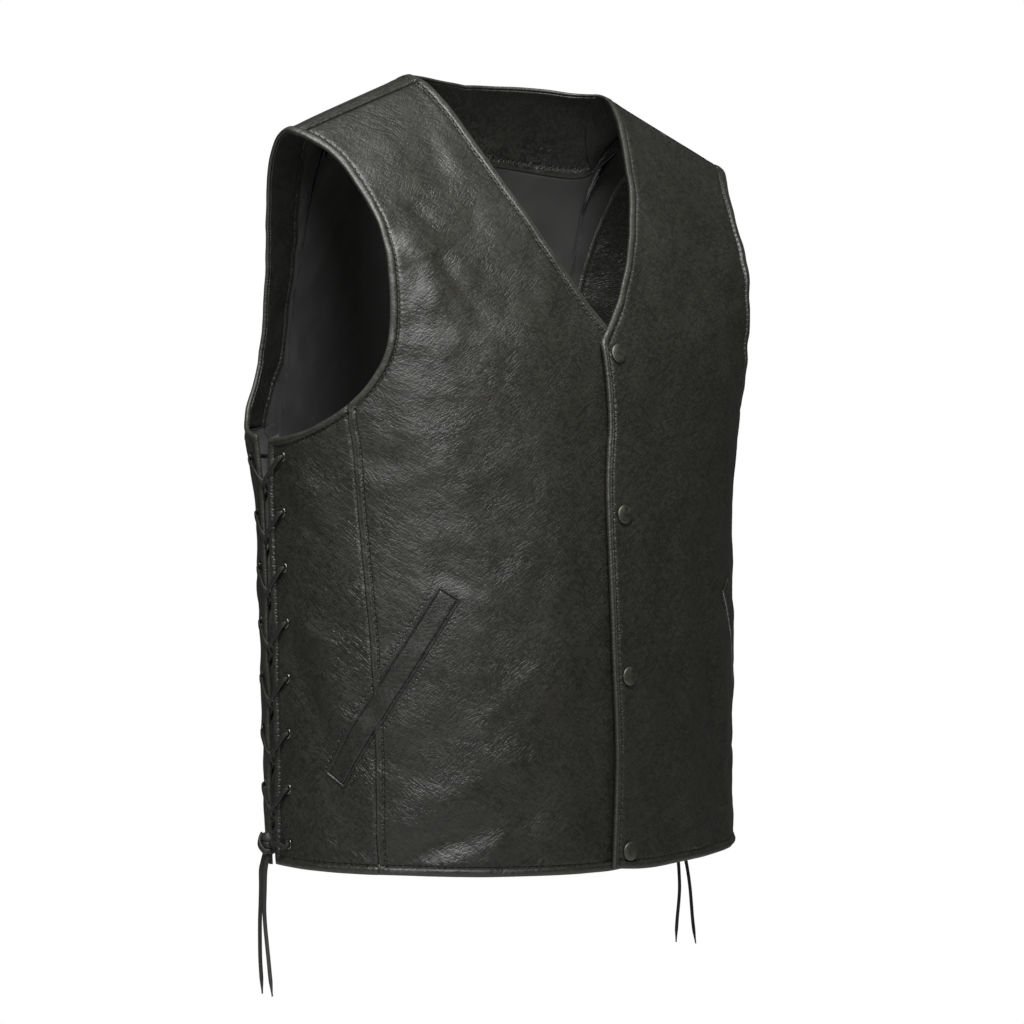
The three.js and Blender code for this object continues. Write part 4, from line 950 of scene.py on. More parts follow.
def open_at(across, up, centres):
    """Cells of a grid to leave out: those whose middle lies in an eyelet's hole."""
    mid = [(a[1:, 1:] + a[1:, :-1] + a[:-1, 1:] + a[:-1, :-1]) / 4 for a in (across, up)]
    hit = np.zeros(mid[0].shape, bool)
    for x, y in centres:
        hit |= np.hypot(mid[0] - x, mid[1] - y) < HOLE_RADIUS
    return ~hit


EYELET_ZONE = np.concatenate([EDGE_STOPS, [14, 16, 17, 18, 19, 20, 21, 22, 23, 24, 26, 28.5]])
side_rows = np.concatenate([HEM + 2 + EDGE_STOPS, np.linspace(HEM + 17, -9, 84), 5 - EDGE_STOPS[::-1]])
side_rows = close_round(side_rows, EYELET_UPS)[:, None]
SIDE_EDGES = [armhole_line[:90], lacing_line, hem_line]

for side_name, side in SIDES.items():
    across = between(seam_at(side_rows) + TRIM, LACING_EDGE - TRIM, stops(11, far=EYELET_ZONE))
    h = np.broadcast_to(side_rows, across.shape)
    up = h + (hem_at(across) - HEM - 2) * (1 - smooth(HEM, HEM + 100, h))
    up = back_to_tape(up + (evened(armhole_up(across)) - 5) * smooth(-60, 5, h))
    off, run = nearest_of(SIDE_EDGES, across, up)
    off_seam, _ = nearest(seam_line, across, up)
    shape = rolled(off) + tucked(off_seam)
    off_welt, run_welt = beside_welt(across, up)
    off_welt = np.abs(off_welt) + STITCH_LINE - WELT_STITCH
    marks = {"seam_off": np.minimum(off, off_welt), "seam_run": np.where(off_welt < off, run_welt, run)}
    holes = [(LACING_EDGE - EYELET_INSET, row) for row in EYELET_UPS]
    cloth_piece(
        f"side_hide_{side_name}", f"side_{side_name}", side, across, up, LEATHER + shape, 0.0,
        side_hide, keep=open_at(across, up, holes), marks=marks,
    )


# %% Back
def back_grid(falls, neck_steps, columns, side_in=0.0, over_shoulder=None):
    """The right half of the back's pattern. falls are shares of the way from the hem to the
    shoulder's ridge, and over_shoulder lists the last rows, which reach the seam in front."""
    neck = neck_line[neck_line[:, 1] >= RIDGE][::-1]
    t = np.linspace(0, 1, neck_steps)
    place = [np.interp(t, np.linspace(0, 1, len(neck)), neck[:, k]) for k in (0, 1)]
    ridge_way = falls[:, None]
    level_up = BACK_HEM - (BACK_HEM - RIDGE) * ridge_way
    side_at = back_side(level_up) - side_in
    inner = t * 0.5 * side_at * (1 - ridge_way**2) + place[0] * ridge_way**2
    outer = between(inner[:, -1:], side_at, columns)
    inner_up = BACK_HEM - (BACK_HEM - place[1]) * ridge_way
    across = np.hstack([inner, outer[:, 1:]])
    up = np.hstack([inner_up, np.broadcast_to(level_up, outer[:, 1:].shape)])
    if over_shoulder is not None:
        more = over_shoulder[:, None]
        outer = between(across_of(neck_line, more) + TRIM, back_side(more) - side_in, columns)
        inner = np.broadcast_to(outer[:, :1], (len(more), neck_steps))
        across = np.vstack([across, np.hstack([inner, outer[:, 1:]])])
        up = np.vstack([up, np.broadcast_to(more, (len(more), up.shape[1]))])
    return across, up


def mirrored(across, up, keep):
    """Both halves from the right one, with the centre column shared."""
    return (
        np.hstack([-across[:, :0:-1], across]), np.hstack([up[:, :0:-1], up]),
        np.hstack([keep[:, ::-1], keep]),
    )


BACK_EYELET_UPS = 2 * RIDGE - EYELET_UPS
back_rows = np.concatenate([
    BACK_HEM - EDGE_STOPS, np.linspace(BACK_HEM - 17, 628, 58), np.arange(625, 575, -2.0),
    np.linspace(571, RIDGE + 18, 46), RIDGE + EDGE_STOPS[::-1],
])
back_rows = close_round(back_rows, BACK_EYELET_UPS)[::-1]
back_falls = (BACK_HEM - back_rows) / (BACK_HEM - RIDGE)
SHOULDER_ROWS = np.concatenate([[310.5], SHOULDER_SEAM + TRIM + EDGE_STOPS[::-1]])
NECK_STEPS = 29
across, up = back_grid(back_falls, NECK_STEPS, stops(15, far=EYELET_ZONE), TRIM, SHOULDER_ROWS)
keep = all_cells(across)
keep[len(back_falls) - 1:, :NECK_STEPS - 1] = False
holes = [(float(back_edge(row)) - EYELET_INSET, row) for row in BACK_EYELET_UPS]
keep &= open_at(across, up, holes)
across, up, keep = mirrored(across, up, keep)
out = np.abs(across)
off, run = nearest_of([armhole_line, neck_line, back_lacing_line, back_hem_line], out, up)
off_shoulder, _ = nearest(shoulder_line, out, up)
shape = rolled(off, pressed_flat(out, up)) + seam_lap(off_shoulder) * smooth(2, 8, off)
marks = {"seam_off": np.minimum(off, off_shoulder + 8), "seam_run": run}
cloth_piece("back_hide", "back", 0, across, up, LEATHER + shape, 0.0, hide, keep=keep, marks=marks)

# %% [markdown]
# ## Facings and lining
# Inside, strips of the same hide face the front edges, the neckline and the armholes, and a
# diagonal twill covers the rest. The facings' inner edges are turned and stitched over the lining,
# so they stand up a little, toward the wearer. The visible face of these pieces is the inner one.

# %% Twill
TWILL_PITCH = 1.1


def twill(name, colour, light):
    """Polyester twill: matte, with diagonal ribs a millimetre apart, coarser than real ones so
    that they show, and a faint sheen along the ribs."""
    finish, tree, shader = new_finish(name, Roughness=0.78, Sheen_Weight=0.12, Sheen_Roughness=0.45)
    pattern = add(tree, "ShaderNodeTexCoord", out="UV")
    in_mm = add(tree, "ShaderNodeMapping", {"Vector": pattern, "Scale": (1000, 1000, 1000)})
    ribs = add(
        tree, "ShaderNodeTexWave",
        {"Vector": in_mm, "Scale": 2 * math.pi / (10 * math.sqrt(2) * TWILL_PITCH), "Distortion": 0.6},
        bands_direction="DIAGONAL", out=1,
    )
    slub = add(tree, "ShaderNodeTexNoise", {"Vector": in_mm, "Scale": 0.9, "Detail": 3.0})
    height = add(tree, "ShaderNodeMath", {0: slub, 1: 0.35, 2: ribs}, operation="MULTIPLY_ADD")
    colour = add(tree, "ShaderNodeMix", {0: ribs, 6: linear(colour), 7: linear(light)}, **COLOUR_MIX)
    bump = add(tree, "ShaderNodeBump", {"Height": height, "Strength": 0.55, "Distance": 0.00035})
    plug(tree, shader, Base_Color=colour, Normal=bump)
    return finish


black_twill = twill("black_twill_lining", "#0f0f0e", "#1b1b1a")


# %% Front facings and linings
THIN = np.array([0, 0.8, 1.8, 3.0, 4.2, 5.4, 7.0])
FACING_TOP, LINING_TOP = -GAP, -2 * GAP
FACING_STITCH = 5.6


def turned_in(off, lift=0.9):
    """The turned inner edge of a facing: a low roll 5 mm wide, and its stitches' groove."""
    return lift * half_round(off - 2.4, 2.7) - 0.35 * bell(off - FACING_STITCH, 0.7)


for side_name, side in SIDES.items():
    h = between(HEM + 1.0, SHOULDER_SEAM - TRIM, down(stops(110, near=THIN, far=THIN)))
    across = between(front_edge(h) + 0.9, front_edge(h) + FACING_WIDTH, stops(10, near=THIN, far=THIN))
    up = hung(h, across)
    inner_edge = front_edge(h) + FACING_WIDTH - across
    bottom = FACING_TOP - FACING - turned_in(inner_edge)
    cloth_piece(
        f"front_facing_{side_name}", f"facing_front_{side_name}", side, across, up, FACING_TOP, bottom,
        facing_hide, marks={"seam_off": inner_edge + 1.3, "seam_run": h},
    )
    rows = between(HEM + 8.3, SHOULDER_SEAM - TRIM, down(stops(110, near=THIN[:1], far=THIN[:1])))
    ends = np.where(rows < SEAM_TOP - 9, LACING_EDGE - FACING_WIDTH, across_of(armhole_line, rows) - 6.5)
    across = between(front_edge(rows) + FACING_WIDTH - 0.4, ends, stops(52, near=THIN[:1], far=THIN[:1]))
    up = hung(rows, across)
    beyond = smooth(seam_at(0) - 10, LACING_EDGE - FACING_WIDTH, across) * smooth(-60, 30, rows)
    up = up - beyond * np.maximum(up - (armhole_up(across) - 8.3), 0)
    cloth_piece(
        f"front_twill_{side_name}", f"lining_front_{side_name}", side, across, up, LINING_TOP,
        LINING_TOP - LINING - 0.5 * bell(across - seam_at(up), 1.2), black_twill,
    )


# %% Back facings and lining
NECK_FACING_FLARE = 0.45
NECK_FACING_STEPS = 60
neck_facing_rows = RIDGE + np.concatenate([
    NECK_FACING_DEPTH - THIN, [40, 34, 28, 22, 16], THIN[::-1] + 0.9,
])
neck_falls = (BACK_HEM - neck_facing_rows) / (BACK_HEM - RIDGE)
across, up = (grid[:, :NECK_FACING_STEPS] for grid in back_grid(neck_falls, NECK_FACING_STEPS, stops(2)))
across = across * (1 + NECK_FACING_FLARE * (1 - neck_falls[:, None]) / (1 - neck_falls[0]))
across, up, keep = mirrored(across, up, all_cells(across))
middle_column = across.shape[1] // 2
neck_facing_edge = line_of(across[0, middle_column:], up[0, middle_column:])
lower_edge = (BACK_HEM - RIDGE) * (neck_falls - neck_falls[0])[:, None] + 0 * across
bottom = FACING_TOP - FACING - turned_in(lower_edge, 1.1)
cloth_piece(
    "neck_facing", "facing_neck", 0, across, up, FACING_TOP, bottom, facing_hide,
    marks={"seam_off": lower_edge + 1.3, "seam_run": np.abs(across)},
)

# The facing ends at the lacing margin. Its edges run straight down from the curve's last place.
FACING_TO, CURVE_TO = 602, 585
facing_rows = np.concatenate([
    np.linspace(FACING_TO, SHOULDER_SEAM + 8, 110), SHOULDER_SEAM + TRIM + THIN[::-1],
])[:, None]


def armhole_facing_inner(up):
    """Across of the armhole facing's inner edge: it stays 50 mm in, and meets the neck facing."""
    return np.maximum(back_side(up) - FACING_WIDTH + 2, across_of(neck_line, np.minimum(up, RIDGE)) + 4)


edge_ups = np.linspace(SHOULDER_SEAM + 2, FACING_TO - 2, 120)
armhole_facing_edge = line_of(armhole_facing_inner(np.minimum(edge_ups, CURVE_TO)), edge_ups)
for side_name, side in SIDES.items():
    curve_rows = np.minimum(facing_rows, CURVE_TO)
    inner_at = armhole_facing_inner(curve_rows)
    across = between(inner_at, back_side(curve_rows) - 0.9, stops(12, near=THIN, far=THIN))
    up = np.broadcast_to(facing_rows, across.shape)
    bottom = FACING_TOP - FACING - turned_in(across - inner_at, 1.3)
    cloth_piece(
        f"armhole_facing_{side_name}", f"facing_armhole_{side_name}", 0, side * across, up,
        FACING_TOP, bottom, facing_hide,
        marks={"seam_off": across - inner_at + 1.3, "seam_run": up},
    )

# The lining runs up to the shoulder seam, beside the neck facing and under its lower edge.
LINING_HEM, LINING_END = BACK_HEM - 8.3, SHOULDER_SEAM + 1
share = np.linspace(0, 1, 170)[:, None]
rows = LINING_HEM + (LINING_END - LINING_HEM) * share
beside_armhole = armhole_facing_inner(np.minimum(rows, CURVE_TO)) + 1.2
lining_side = np.where(rows > FACING_TO, back_edge(rows) - FACING_WIDTH, beside_armhole)
across = np.linspace(-1, 1, 181)[None] * lining_side
under_facing = np.interp(np.abs(across), neck_facing_edge[:, 0], neck_facing_edge[:, 1]) - 1
neck_facing_side = neck_facing_edge[-1, 0]
past_facing = smooth(neck_facing_side, neck_facing_side + 3, np.abs(across))
top_at = under_facing + (LINING_END - under_facing) * past_facing
up = LINING_HEM + (top_at - LINING_HEM) * share
cloth_piece(
    "back_twill", "lining_back", 0, across, up, LINING_TOP, LINING_TOP - LINING, black_twill,
)

# %% [markdown]
# ## Thread
# A sewing machine leaves a row of short arches of thread, each of which dives into the hide at both
# ends. One arch is a small mesh of 48 triangles, copied along every sewn line. The rows follow the
# edges at the depth of their groove, and each arch spans two of the needle holes in the hide.

# %% Stitches
ARCH_RINGS = [(-0.86, 0.75, -0.35), (-0.45, 1.0, 0.6), (0.45, 1.0, 0.6), (0.86, 0.75, -0.35)]
ARCH_SIDES = 6
THREAD_RADIUS, ARCH_LENGTH = 0.3, 4.0


def one_arch():
    """One stitch along x: rings of thread that rise in the middle, and a point at each end."""
    a = np.arange(ARCH_SIDES) / ARCH_SIDES * 2 * np.pi
    rings = [
        np.stack([0 * a + x * ARCH_LENGTH / 2, wide * np.cos(a), wide * np.sin(a) + lift], -1)
        for x, wide, lift in ARCH_RINGS
    ]
    ends = [[-ARCH_LENGTH / 2, 0, -1.2], [ARCH_LENGTH / 2, 0, -1.2]]
    points = np.vstack([*rings, ends]) * (1, THREAD_RADIUS, THREAD_RADIUS)
    index = np.arange(4 * ARCH_SIDES).reshape(4, ARCH_SIDES)
    turn = np.roll(index, -1, axis=1)
    quads = np.stack([index[:-1], turn[:-1], turn[1:], index[1:]], -1).reshape(-1, 4)
    first = np.stack([turn[0], index[0], 0 * index[0] + 4 * ARCH_SIDES], -1)
    last = np.stack([index[-1], turn[-1], 0 * index[-1] + 4 * ARCH_SIDES + 1], -1)
    return points, quads, np.vstack([first, last])


def sewn_row(side, line, off, depth, start=0.0, stop=None, inward=1):
    """Arches at a fixed distance beside a drawn line: places, and their three directions."""
    line = line_of(line[:, 0], evened(line[:, 1]))
    run = tape_along(line)
    stop = run[-1] if stop is None else stop
    at = (np.arange(math.ceil(start / STITCH_PITCH), int(stop / STITCH_PITCH)) + 0.5) * STITCH_PITCH
    found = []
    for shift in (-0.6, 0.0, 0.6):
        spot, before, after = (
            np.stack([np.interp(at + step, run, column) for column in line.T], -1)
            for step in (shift, -1.5, 1.5)
        )
        way = unit(after - before)
        spot = spot + inward * off * np.stack([-way[:, 1], way[:, 0]], -1)
        spot[:, 1] = back_to_tape(spot[:, 1])
        found.append(cloth(side, spot[:, 0], spot[:, 1], depth, fine=1))
    sign = side if side else 1
    ahead = unit(found[2] - found[0])
    out = normal_at(sign * spot[:, 0], spot[:, 1])
    if depth < 0:
        out = -out
    aside = unit(np.cross(out, ahead))
    return found[1], ahead, aside, np.cross(ahead, aside)


def stitches(name, rows, finish):
    """Copies the arch to every place of the given rows, as one piece."""
    centre, ahead, aside, out = (np.concatenate(part) for part in zip(*rows))
    points, quads, fans = one_arch()
    frames = np.stack([ahead, aside, out], 1)
    placed = centre[:, None] + np.einsum("pk,nkc->npc", points, frames)
    shift = (np.arange(len(centre)) * len(points))[:, None, None]
    piece = make_piece(
        name, placed.reshape(-1, 3), (quads + shift).reshape(-1, 4), (fans + shift).reshape(-1, 3),
        finish=finish,
    )
    print(name, len(centre), "stitches")
    return piece


def thread_finish():
    """Bonded nylon thread: smooth and faintly lustrous, as black as the hide."""
    finish, tree, shader = new_finish("black_nylon_thread", Roughness=0.5, Sheen_Weight=0.1)
    place = add(tree, "ShaderNodeTexCoord", out="Object")
    twist = add(tree, "ShaderNodeTexNoise", {"Vector": place, "Scale": 900.0, "Detail": 2.0})
    tones = {0: twist, 6: linear("#121211"), 7: linear("#2b2a27")}
    colour = add(tree, "ShaderNodeMix", tones, **COLOUR_MIX)
    plug(tree, shader, Base_Color=colour)
    return finish


thread = thread_finish()
GROOVE = LEATHER - 0.30
HALVES = (np.array([-1, 1]), np.array([1, 1]))
FRONT_ARMHOLE_END = float(nearest(armhole_line, np.array([231.0]), np.array([SHOULDER_SEAM]))[1][0])
NECK_END = float(nearest(neck_line, np.array([101.0]), np.array([SHOULDER_SEAM]))[1][0])
for side_name, side in SIDES.items():
    rows = [
        sewn_row(side, armhole_line, STITCH_LINE, GROOVE, 8, FRONT_ARMHOLE_END - 2, inward=1),
        sewn_row(side, placket_line, STITCH_LINE, GROOVE, 8, inward=-1),
        sewn_row(side, neck_line, STITCH_LINE, GROOVE, 0, NECK_END - 2, inward=-1),
        sewn_row(side, hem_line, STITCH_LINE, GROOVE, 16),
        sewn_row(side, lacing_line, STITCH_LINE, GROOVE, 8, 330),
        sewn_row(side, seam_line, 6.1, GROOVE + 0.25, 9, 366),
    ]
    for edge in (-1, 1):
        beside = edge * WELT_ASIDE * (WELT_WIDE / 2 + WELT_STITCH)
        edge_line = np.linspace(WELT_TOP, WELT_FOOT, 40) + beside
        rows.append(sewn_row(side, edge_line, 0, LEATHER - 0.12, 1))
    stitches(f"front_stitches_{side_name}", rows, thread)
rows = []
for half in HALVES:
    rows += [
        sewn_row(0, armhole_line * half, STITCH_LINE, GROOVE, FRONT_ARMHOLE_END + 3, inward=half[0]),
        sewn_row(0, neck_line * half, STITCH_LINE, GROOVE, NECK_END + 3, inward=-half[0]),
        sewn_row(0, back_lacing_line * half, STITCH_LINE, GROOVE, 8, 340, inward=half[0]),
        sewn_row(0, back_hem_line * half, STITCH_LINE, GROOVE, 0, 255, inward=-half[0]),
    ]
stitches("back_stitches", rows, thread)

INSIDE = FACING_TOP - FACING - 0.15
rows = []
for half in HALVES:
    rows += [
        sewn_row(0, neck_facing_edge * half, FACING_STITCH, INSIDE, 1, inward=-half[0]),
        sewn_row(0, armhole_facing_edge * half, FACING_STITCH, INSIDE, 4, inward=-half[0]),
    ]
stitches("facing_stitches", rows, thread)

# %% [markdown]
# ## Snaps, eyelets and welts
# The caps of the snaps and the eyelets are drawn from thin metal, so each is a profile turned about
# its own axis. A welt is a folded strip of hide that covers the pocket's slanting mouth. Its face
# is a little sunken between its edges, and its ends are sewn down.

# %% Metal
def gunmetal_finish(name, colour, rough):
    """Gunmetal plating on pressed brass: dark, half matte, rubbed a little lighter in places."""
    finish, tree, shader = new_finish(name, Metallic=1.0)
    place = add(tree, "ShaderNodeTexCoord", out="Object")
    cloud = add(tree, "ShaderNodeTexNoise", {"Vector": place, "Scale": 260.0, "Detail": 4.0})
    speck = add(tree, "ShaderNodeTexNoise", {"Vector": place, "Scale": 2600.0, "Detail": 2.0})
    tone = add(tree, "ShaderNodeMix", {0: cloud, 6: linear(colour), 7: linear("#6b6a62")}, **COLOUR_MIX)
    gloss = add(tree, "ShaderNodeMapRange", {0: cloud, 1: 0.3, 2: 0.7, 3: rough - 0.06, 4: rough + 0.08})
    bump = add(tree, "ShaderNodeBump", {"Height": speck, "Strength": 0.25, "Distance": 0.0001})
    plug(tree, shader, Base_Color=tone, Roughness=gloss, Normal=bump)
    return finish


snap_metal = gunmetal_finish("gunmetal_snap_cap", "#4a4a43", 0.52)
eyelet_metal = gunmetal_finish("black_nickel_eyelet", "#6a6965", 0.22)


# %% Snaps and eyelets
def turned(profile, sides):
    """A profile of (radius, height) pairs turned about z. A radius of 0 closes the shape."""
    radius, height = np.array(profile, float).T
    a = np.linspace(0, 2 * np.pi, sides, endpoint=False)[:, None]
    points = np.stack([radius * np.cos(a), radius * np.sin(a), height + 0 * a], -1)
    index = np.arange(points.size // 3).reshape(points.shape[:2])
    turn = np.roll(index, -1, axis=0)
    after = np.roll(np.arange(len(radius)), -1)
    quads = np.stack([index, turn, turn[:, after], index[:, after]], -1)
    closed = radius[after] + radius > 0
    return points.reshape(-1, 3), quads[:, closed].reshape(-1, 4)


def frame_at(side, across, up, depth):
    """A place on the cloth, with its direction across, its direction up and its outward one."""
    out = normal_at(side * across, up)
    way = unit(figure(side * across + 1, up) - figure(side * across - 1, up))
    return cloth(side, across, up, depth, fine=1), np.stack([way, np.cross(out, way), out], -2)


SNAP_UPS = np.array([65.5, -60.2, -188.8, -328.1])
SNAP_ACROSS = 3.2
CAP = [
    (0, -0.9), (4.6, -0.9), (6.4, 0.0), (7.0, 0.05), (7.4, 0.3), (7.55, 0.7), (7.4, 1.15), (7.0, 1.45),
    (6.3, 1.72), (5.0, 2.05), (3.6, 2.3), (1.9, 2.46), (0, 2.5),
]
cap_points, cap_quads = turned(CAP, 48)
for number, up_at in enumerate(SNAP_UPS, 1):
    centre, axes = frame_at(1, np.float64(SNAP_ACROSS), up_at, LEATHER + 0.75)
    piece = make_piece(f"snap_cap_{number}", centre + cap_points @ axes, cap_quads, finish=snap_metal)
    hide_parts(f"snap_{number}")

RING = [
    (1.9, -1.5), (2.3, -1.4), (2.6, -0.1), (4.0, -0.12), (4.3, 0.08), (4.32, 0.36), (4.1, 0.68),
    (3.6, 0.92), (3.0, 0.94), (2.4, 0.68), (2.0, 0.2), (1.9, -0.4),
]
ring_points, ring_quads = turned(RING, 28)
for side_name, side in SIDES.items():
    for margin_name, margin in {"front": -1, "back": 1}.items():
        margin_of = f"{side_name}_{margin_name}"
        across = GAP_MIDDLE + margin * EYELET_REACH
        centre, axes = frame_at(side, np.full(EYELET_COUNT, float(across)), EYELET_UPS, LEATHER + 0.12)
        placed = centre[:, None] + ring_points @ axes
        quads = ring_quads + (np.arange(EYELET_COUNT) * len(ring_points))[:, None, None]
        piece = make_piece(
            f"eyelets_{margin_of}", placed.reshape(-1, 3), quads.reshape(-1, 4), finish=eyelet_metal,
        )
        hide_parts(*[f"eyelet_{margin_of}_{row}" for row in range(1, EYELET_COUNT + 1)])
print("snaps", len(SNAP_UPS), "eyelets", 4 * EYELET_COUNT)

# %% Welts
WELT_STOPS = np.array([0, 0.0, 0.25, 0.6, 1.0, 1.4, 1.75, 2.05, 2.35, 2.75, 3.3, 4.2])
FAR_FROM_SEAMS = 40.0
welt_leather = cowhide("black_cowhide_welt", "#141412", "#292824", relief=0.4, rough=0.43)

for side_name, side in SIDES.items():
    along = between(0, WELT_LONG, down(stops(60, near=WELT_STOPS, far=WELT_STOPS)))
    aside = between(-WELT_WIDE / 2, WELT_WIDE / 2, stops(10, near=WELT_STOPS, far=WELT_STOPS))
    along, aside = np.broadcast_arrays(along, aside)
    off = np.minimum(np.minimum(along, WELT_LONG - along), WELT_WIDE / 2 - np.abs(aside))
    # From outside: the rounded lip of the pocket's mouth, a dark gap, and the welt's own face.
    lip = 1.5 * half_round(off - 0.85, 0.86)
    face = 1.35 * smooth(1.95, 3.1, off) - 0.25 * smooth(3, 9, off)
    slack = 0.25 * np.sin(along / 17) * smooth(2, 8, off)
    top = LEATHER - 0.1 + lip + face + slack
    across = WELT_TOP[0] + WELT_WAY[0] * along + WELT_ASIDE[0] * aside
    up = WELT_TOP[1] + WELT_WAY[1] * along + WELT_ASIDE[1] * aside
    cloth_piece(
        f"welt_{side_name}", f"pocket_welt_{side_name}", side, across, up, top, LEATHER - 0.3,
        welt_leather, marks={"seam_off": FAR_FROM_SEAMS, "seam_run": 0.0}, own_map=(aside, along),
    )

# %% [markdown]
# ## Laces
# A lace is a round-edged thong of soft latigo leather. It leaves each eyelet upward, lies flat over
# the margin, crosses the gap to the next lower eyelet on the other side, and comes up through it
# from behind. The route's steps are the model's own. The two ends meet in a knot below.

# %% Thong leather
def thong_finish():
    """Latigo thong: matte, with fibres drawn out along it and small nicks across."""
    finish, tree, shader = new_finish("black_latigo_thong", Roughness=0.58)
    pattern = add(tree, "ShaderNodeTexCoord", out="UV")
    along = add(tree, "ShaderNodeMapping", {"Vector": pattern, "Scale": (900, 130, 1)})
    fibres = {"Vector": along, "Scale": 1.0, "Detail": 4.0, "Roughness": 0.65}
    fibre = add(tree, "ShaderNodeTexNoise", fibres)
    nick = add(tree, "ShaderNodeTexNoise", {"Vector": pattern, "Scale": 380.0, "Detail": 3.0})
    height = add(tree, "ShaderNodeMath", {0: nick, 1: 0.8, 2: fibre}, operation="MULTIPLY_ADD")
    tones = {0: fibre, 6: linear("#0c0c0b"), 7: linear("#262521")}
    colour = add(tree, "ShaderNodeMix", tones, **COLOUR_MIX)
    bump = add(tree, "ShaderNodeBump", {"Height": height, "Strength": 0.6, "Distance": 0.0004})
    plug(tree, shader, Base_Color=colour, Normal=bump)
    return finish


thong_leather = thong_finish()

# %% Laces and knots
# near: share of the way out from the gap's middle; drop: share of the pitch it has come down;
# depth on the strand that crosses on top, and on the one below; width and thickness factors
LACE_STEPS = np.array([
    (1.00, 0.00, -0.8, -0.8, 0.72, 1.1), (0.97, 0.01, 2.2, 2.2, 0.78, 1.1),
    (0.86, 0.065, 3.8, 3.8, 1.05, 1.0), (0.60, 0.20, 3.8, 3.8, 1.12, 1.0),
    (0.24, 0.37, 4.2, 4.4, 1.0, 1.0), (0.11, 0.45, 4.0, 2.6, 1.0, 1.0),
    (-0.03, 0.52, 1.9, -1.5, 1.0, 1.0), (-0.20, 0.62, -2.9, -2.9, 1.0, 1.0),
    (-0.60, 0.81, -3.0, -3.0, 1.0, 1.0), (-0.93, 0.97, -3.4, -3.4, 0.8, 1.1),
])
TO_KNOT = np.vstack([LACE_STEPS[:3], [(0.65, 0.02, 5.0, 5.0, 1, 1), (0.216, 0.03, 7.4, 7.4, 1, 1)]])
LACE_BAR = np.array([(share, 0.0, -3.8, 0.9, 1.0) for share in (0.93, 0.0, -0.93)])


def strand(start_margin):
    """One half of a lace, from the top eyelet down: across, up, depth and the section's factors."""
    parts = []
    for row in range(EYELET_COUNT):
        margin = start_margin * (1 if row % 2 == 0 else -1)
        steps = LACE_STEPS if row < EYELET_COUNT - 1 else TO_KNOT
        depth = steps[:, 2] if margin < 0 else steps[:, 3]
        across = GAP_MIDDLE + margin * EYELET_REACH * steps[:, 0]
        up = EYELET_UPS[row] - EYELET_PITCH * steps[:, 1]
        parts.append(np.stack([across, up, depth, *steps[:, 4:].T], -1))
    return np.vstack(parts)


def lace(side_name, side):
    bar = np.stack([
        GAP_MIDDLE + LACE_BAR[:, 0] * EYELET_REACH, np.full(3, float(EYELET_TOP)), *LACE_BAR[:, 2:].T,
    ], -1)
    way = np.vstack([strand(1)[::-1], bar, strand(-1)])
    places = cloth(side, way[:, 0], way[:, 1], way[:, 2])
    upward = unit(figure(side * way[:, 0], way[:, 1] + 2) - figure(side * way[:, 0], way[:, 1] - 2))
    path = smooth_path(np.hstack([places, upward, way[:, 3:]]), 1.3)
    points, quads, fans, uv = swept(
        path[:, :3], path[:, 3:6], strip_profile(THONG_WIDTH, THONG_THICK), path[:, 6:],
    )
    piece = make_piece(f"thong_{side_name}", points, quads, fans, uv, finish=thong_leather)
    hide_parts(f"lace_{side_name}")
    print(f"thong_{side_name}", round(float(tape_along(path[:, :3])[-1])), "mm long")


KNOT_CORE = [(0, -9), (3, -7.6), (4.2, -4.2), (4.6, 0), (4.2, 4.2), (3, 7.6), (0, 9)]


def knot(side_name, side):
    """Turns of thong round a core, and one that crosses over them: a turn is a helix
    (4.2 cos a, 5.2 sin a, -0.8 a), and the crossing one climbs the front on a half sine."""
    a = np.linspace(0, 6 * np.pi, 80)
    turns = np.stack([-4.2 * np.cos(a), -5.2 * np.sin(a), 7.4 - 0.8 * a], -1)
    t = np.linspace(0, 1, 26)
    over = np.stack([2.6 + 4.2 * np.sin(np.pi * t), 5.4 - 10.8 * t, -8.0 + 15.4 * t], -1)
    middle = knot_middle(side)
    out = normal_at(side * GAP_MIDDLE, np.float64(KNOT_UP))
    out = unit(out * (1, 1, 0))
    axes = np.array([out, np.cross([0, 0, 1], out), [0, 0, 1]])
    parts, shift = [], 0
    for path, wide, thick in ((turns, 4.9, 2.4), (over, 4.9, 2.6)):
        radial = unit(path * (1, 1, 0.25))
        path, radial = middle + path @ axes, radial @ axes
        ahead = unit(np.gradient(path, axis=0))
        full = np.sin(np.linspace(0.25, np.pi - 0.25, len(path))) ** 0.25
        points, quads, fans, uv = swept(
            path, np.cross(ahead, radial), strip_profile(wide, thick), np.stack([full, full], -1),
        )
        parts.append((points, quads + shift, fans + shift, uv))
        shift += len(points)
    ball_points, ball_quads = turned(KNOT_CORE, 16)
    no_fans = np.zeros((0, 3), int)
    parts.append((middle + ball_points @ axes, ball_quads + shift, no_fans, ball_points[:, :2]))
    points, quads, fans, uv = (np.vstack(part) for part in zip(*parts))
    piece = make_piece(f"knot_{side_name}", points, quads, fans, uv, finish=thong_leather)
    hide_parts(f"lace_knot_{side_name}")


for side_name, side in SIDES.items():
    lace(side_name, side)
    knot(side_name, side)
for piece in thong_pieces:
    piece.data.materials.append(thong_leather)

# %% [markdown]
# ## Light, floor and background
# The photograph has a white background. Its main light stands high in front of the wearer, so the
# near front is bright and the far one falls off. A weaker light from the side shows the lacing, one
# from above reaches inside, and a soft spot brightens the near chest. Black leather shows almost
# nothing but reflections, so the lights are large and soft. The floor is a pale disc far below the
# vest, out of the picture.

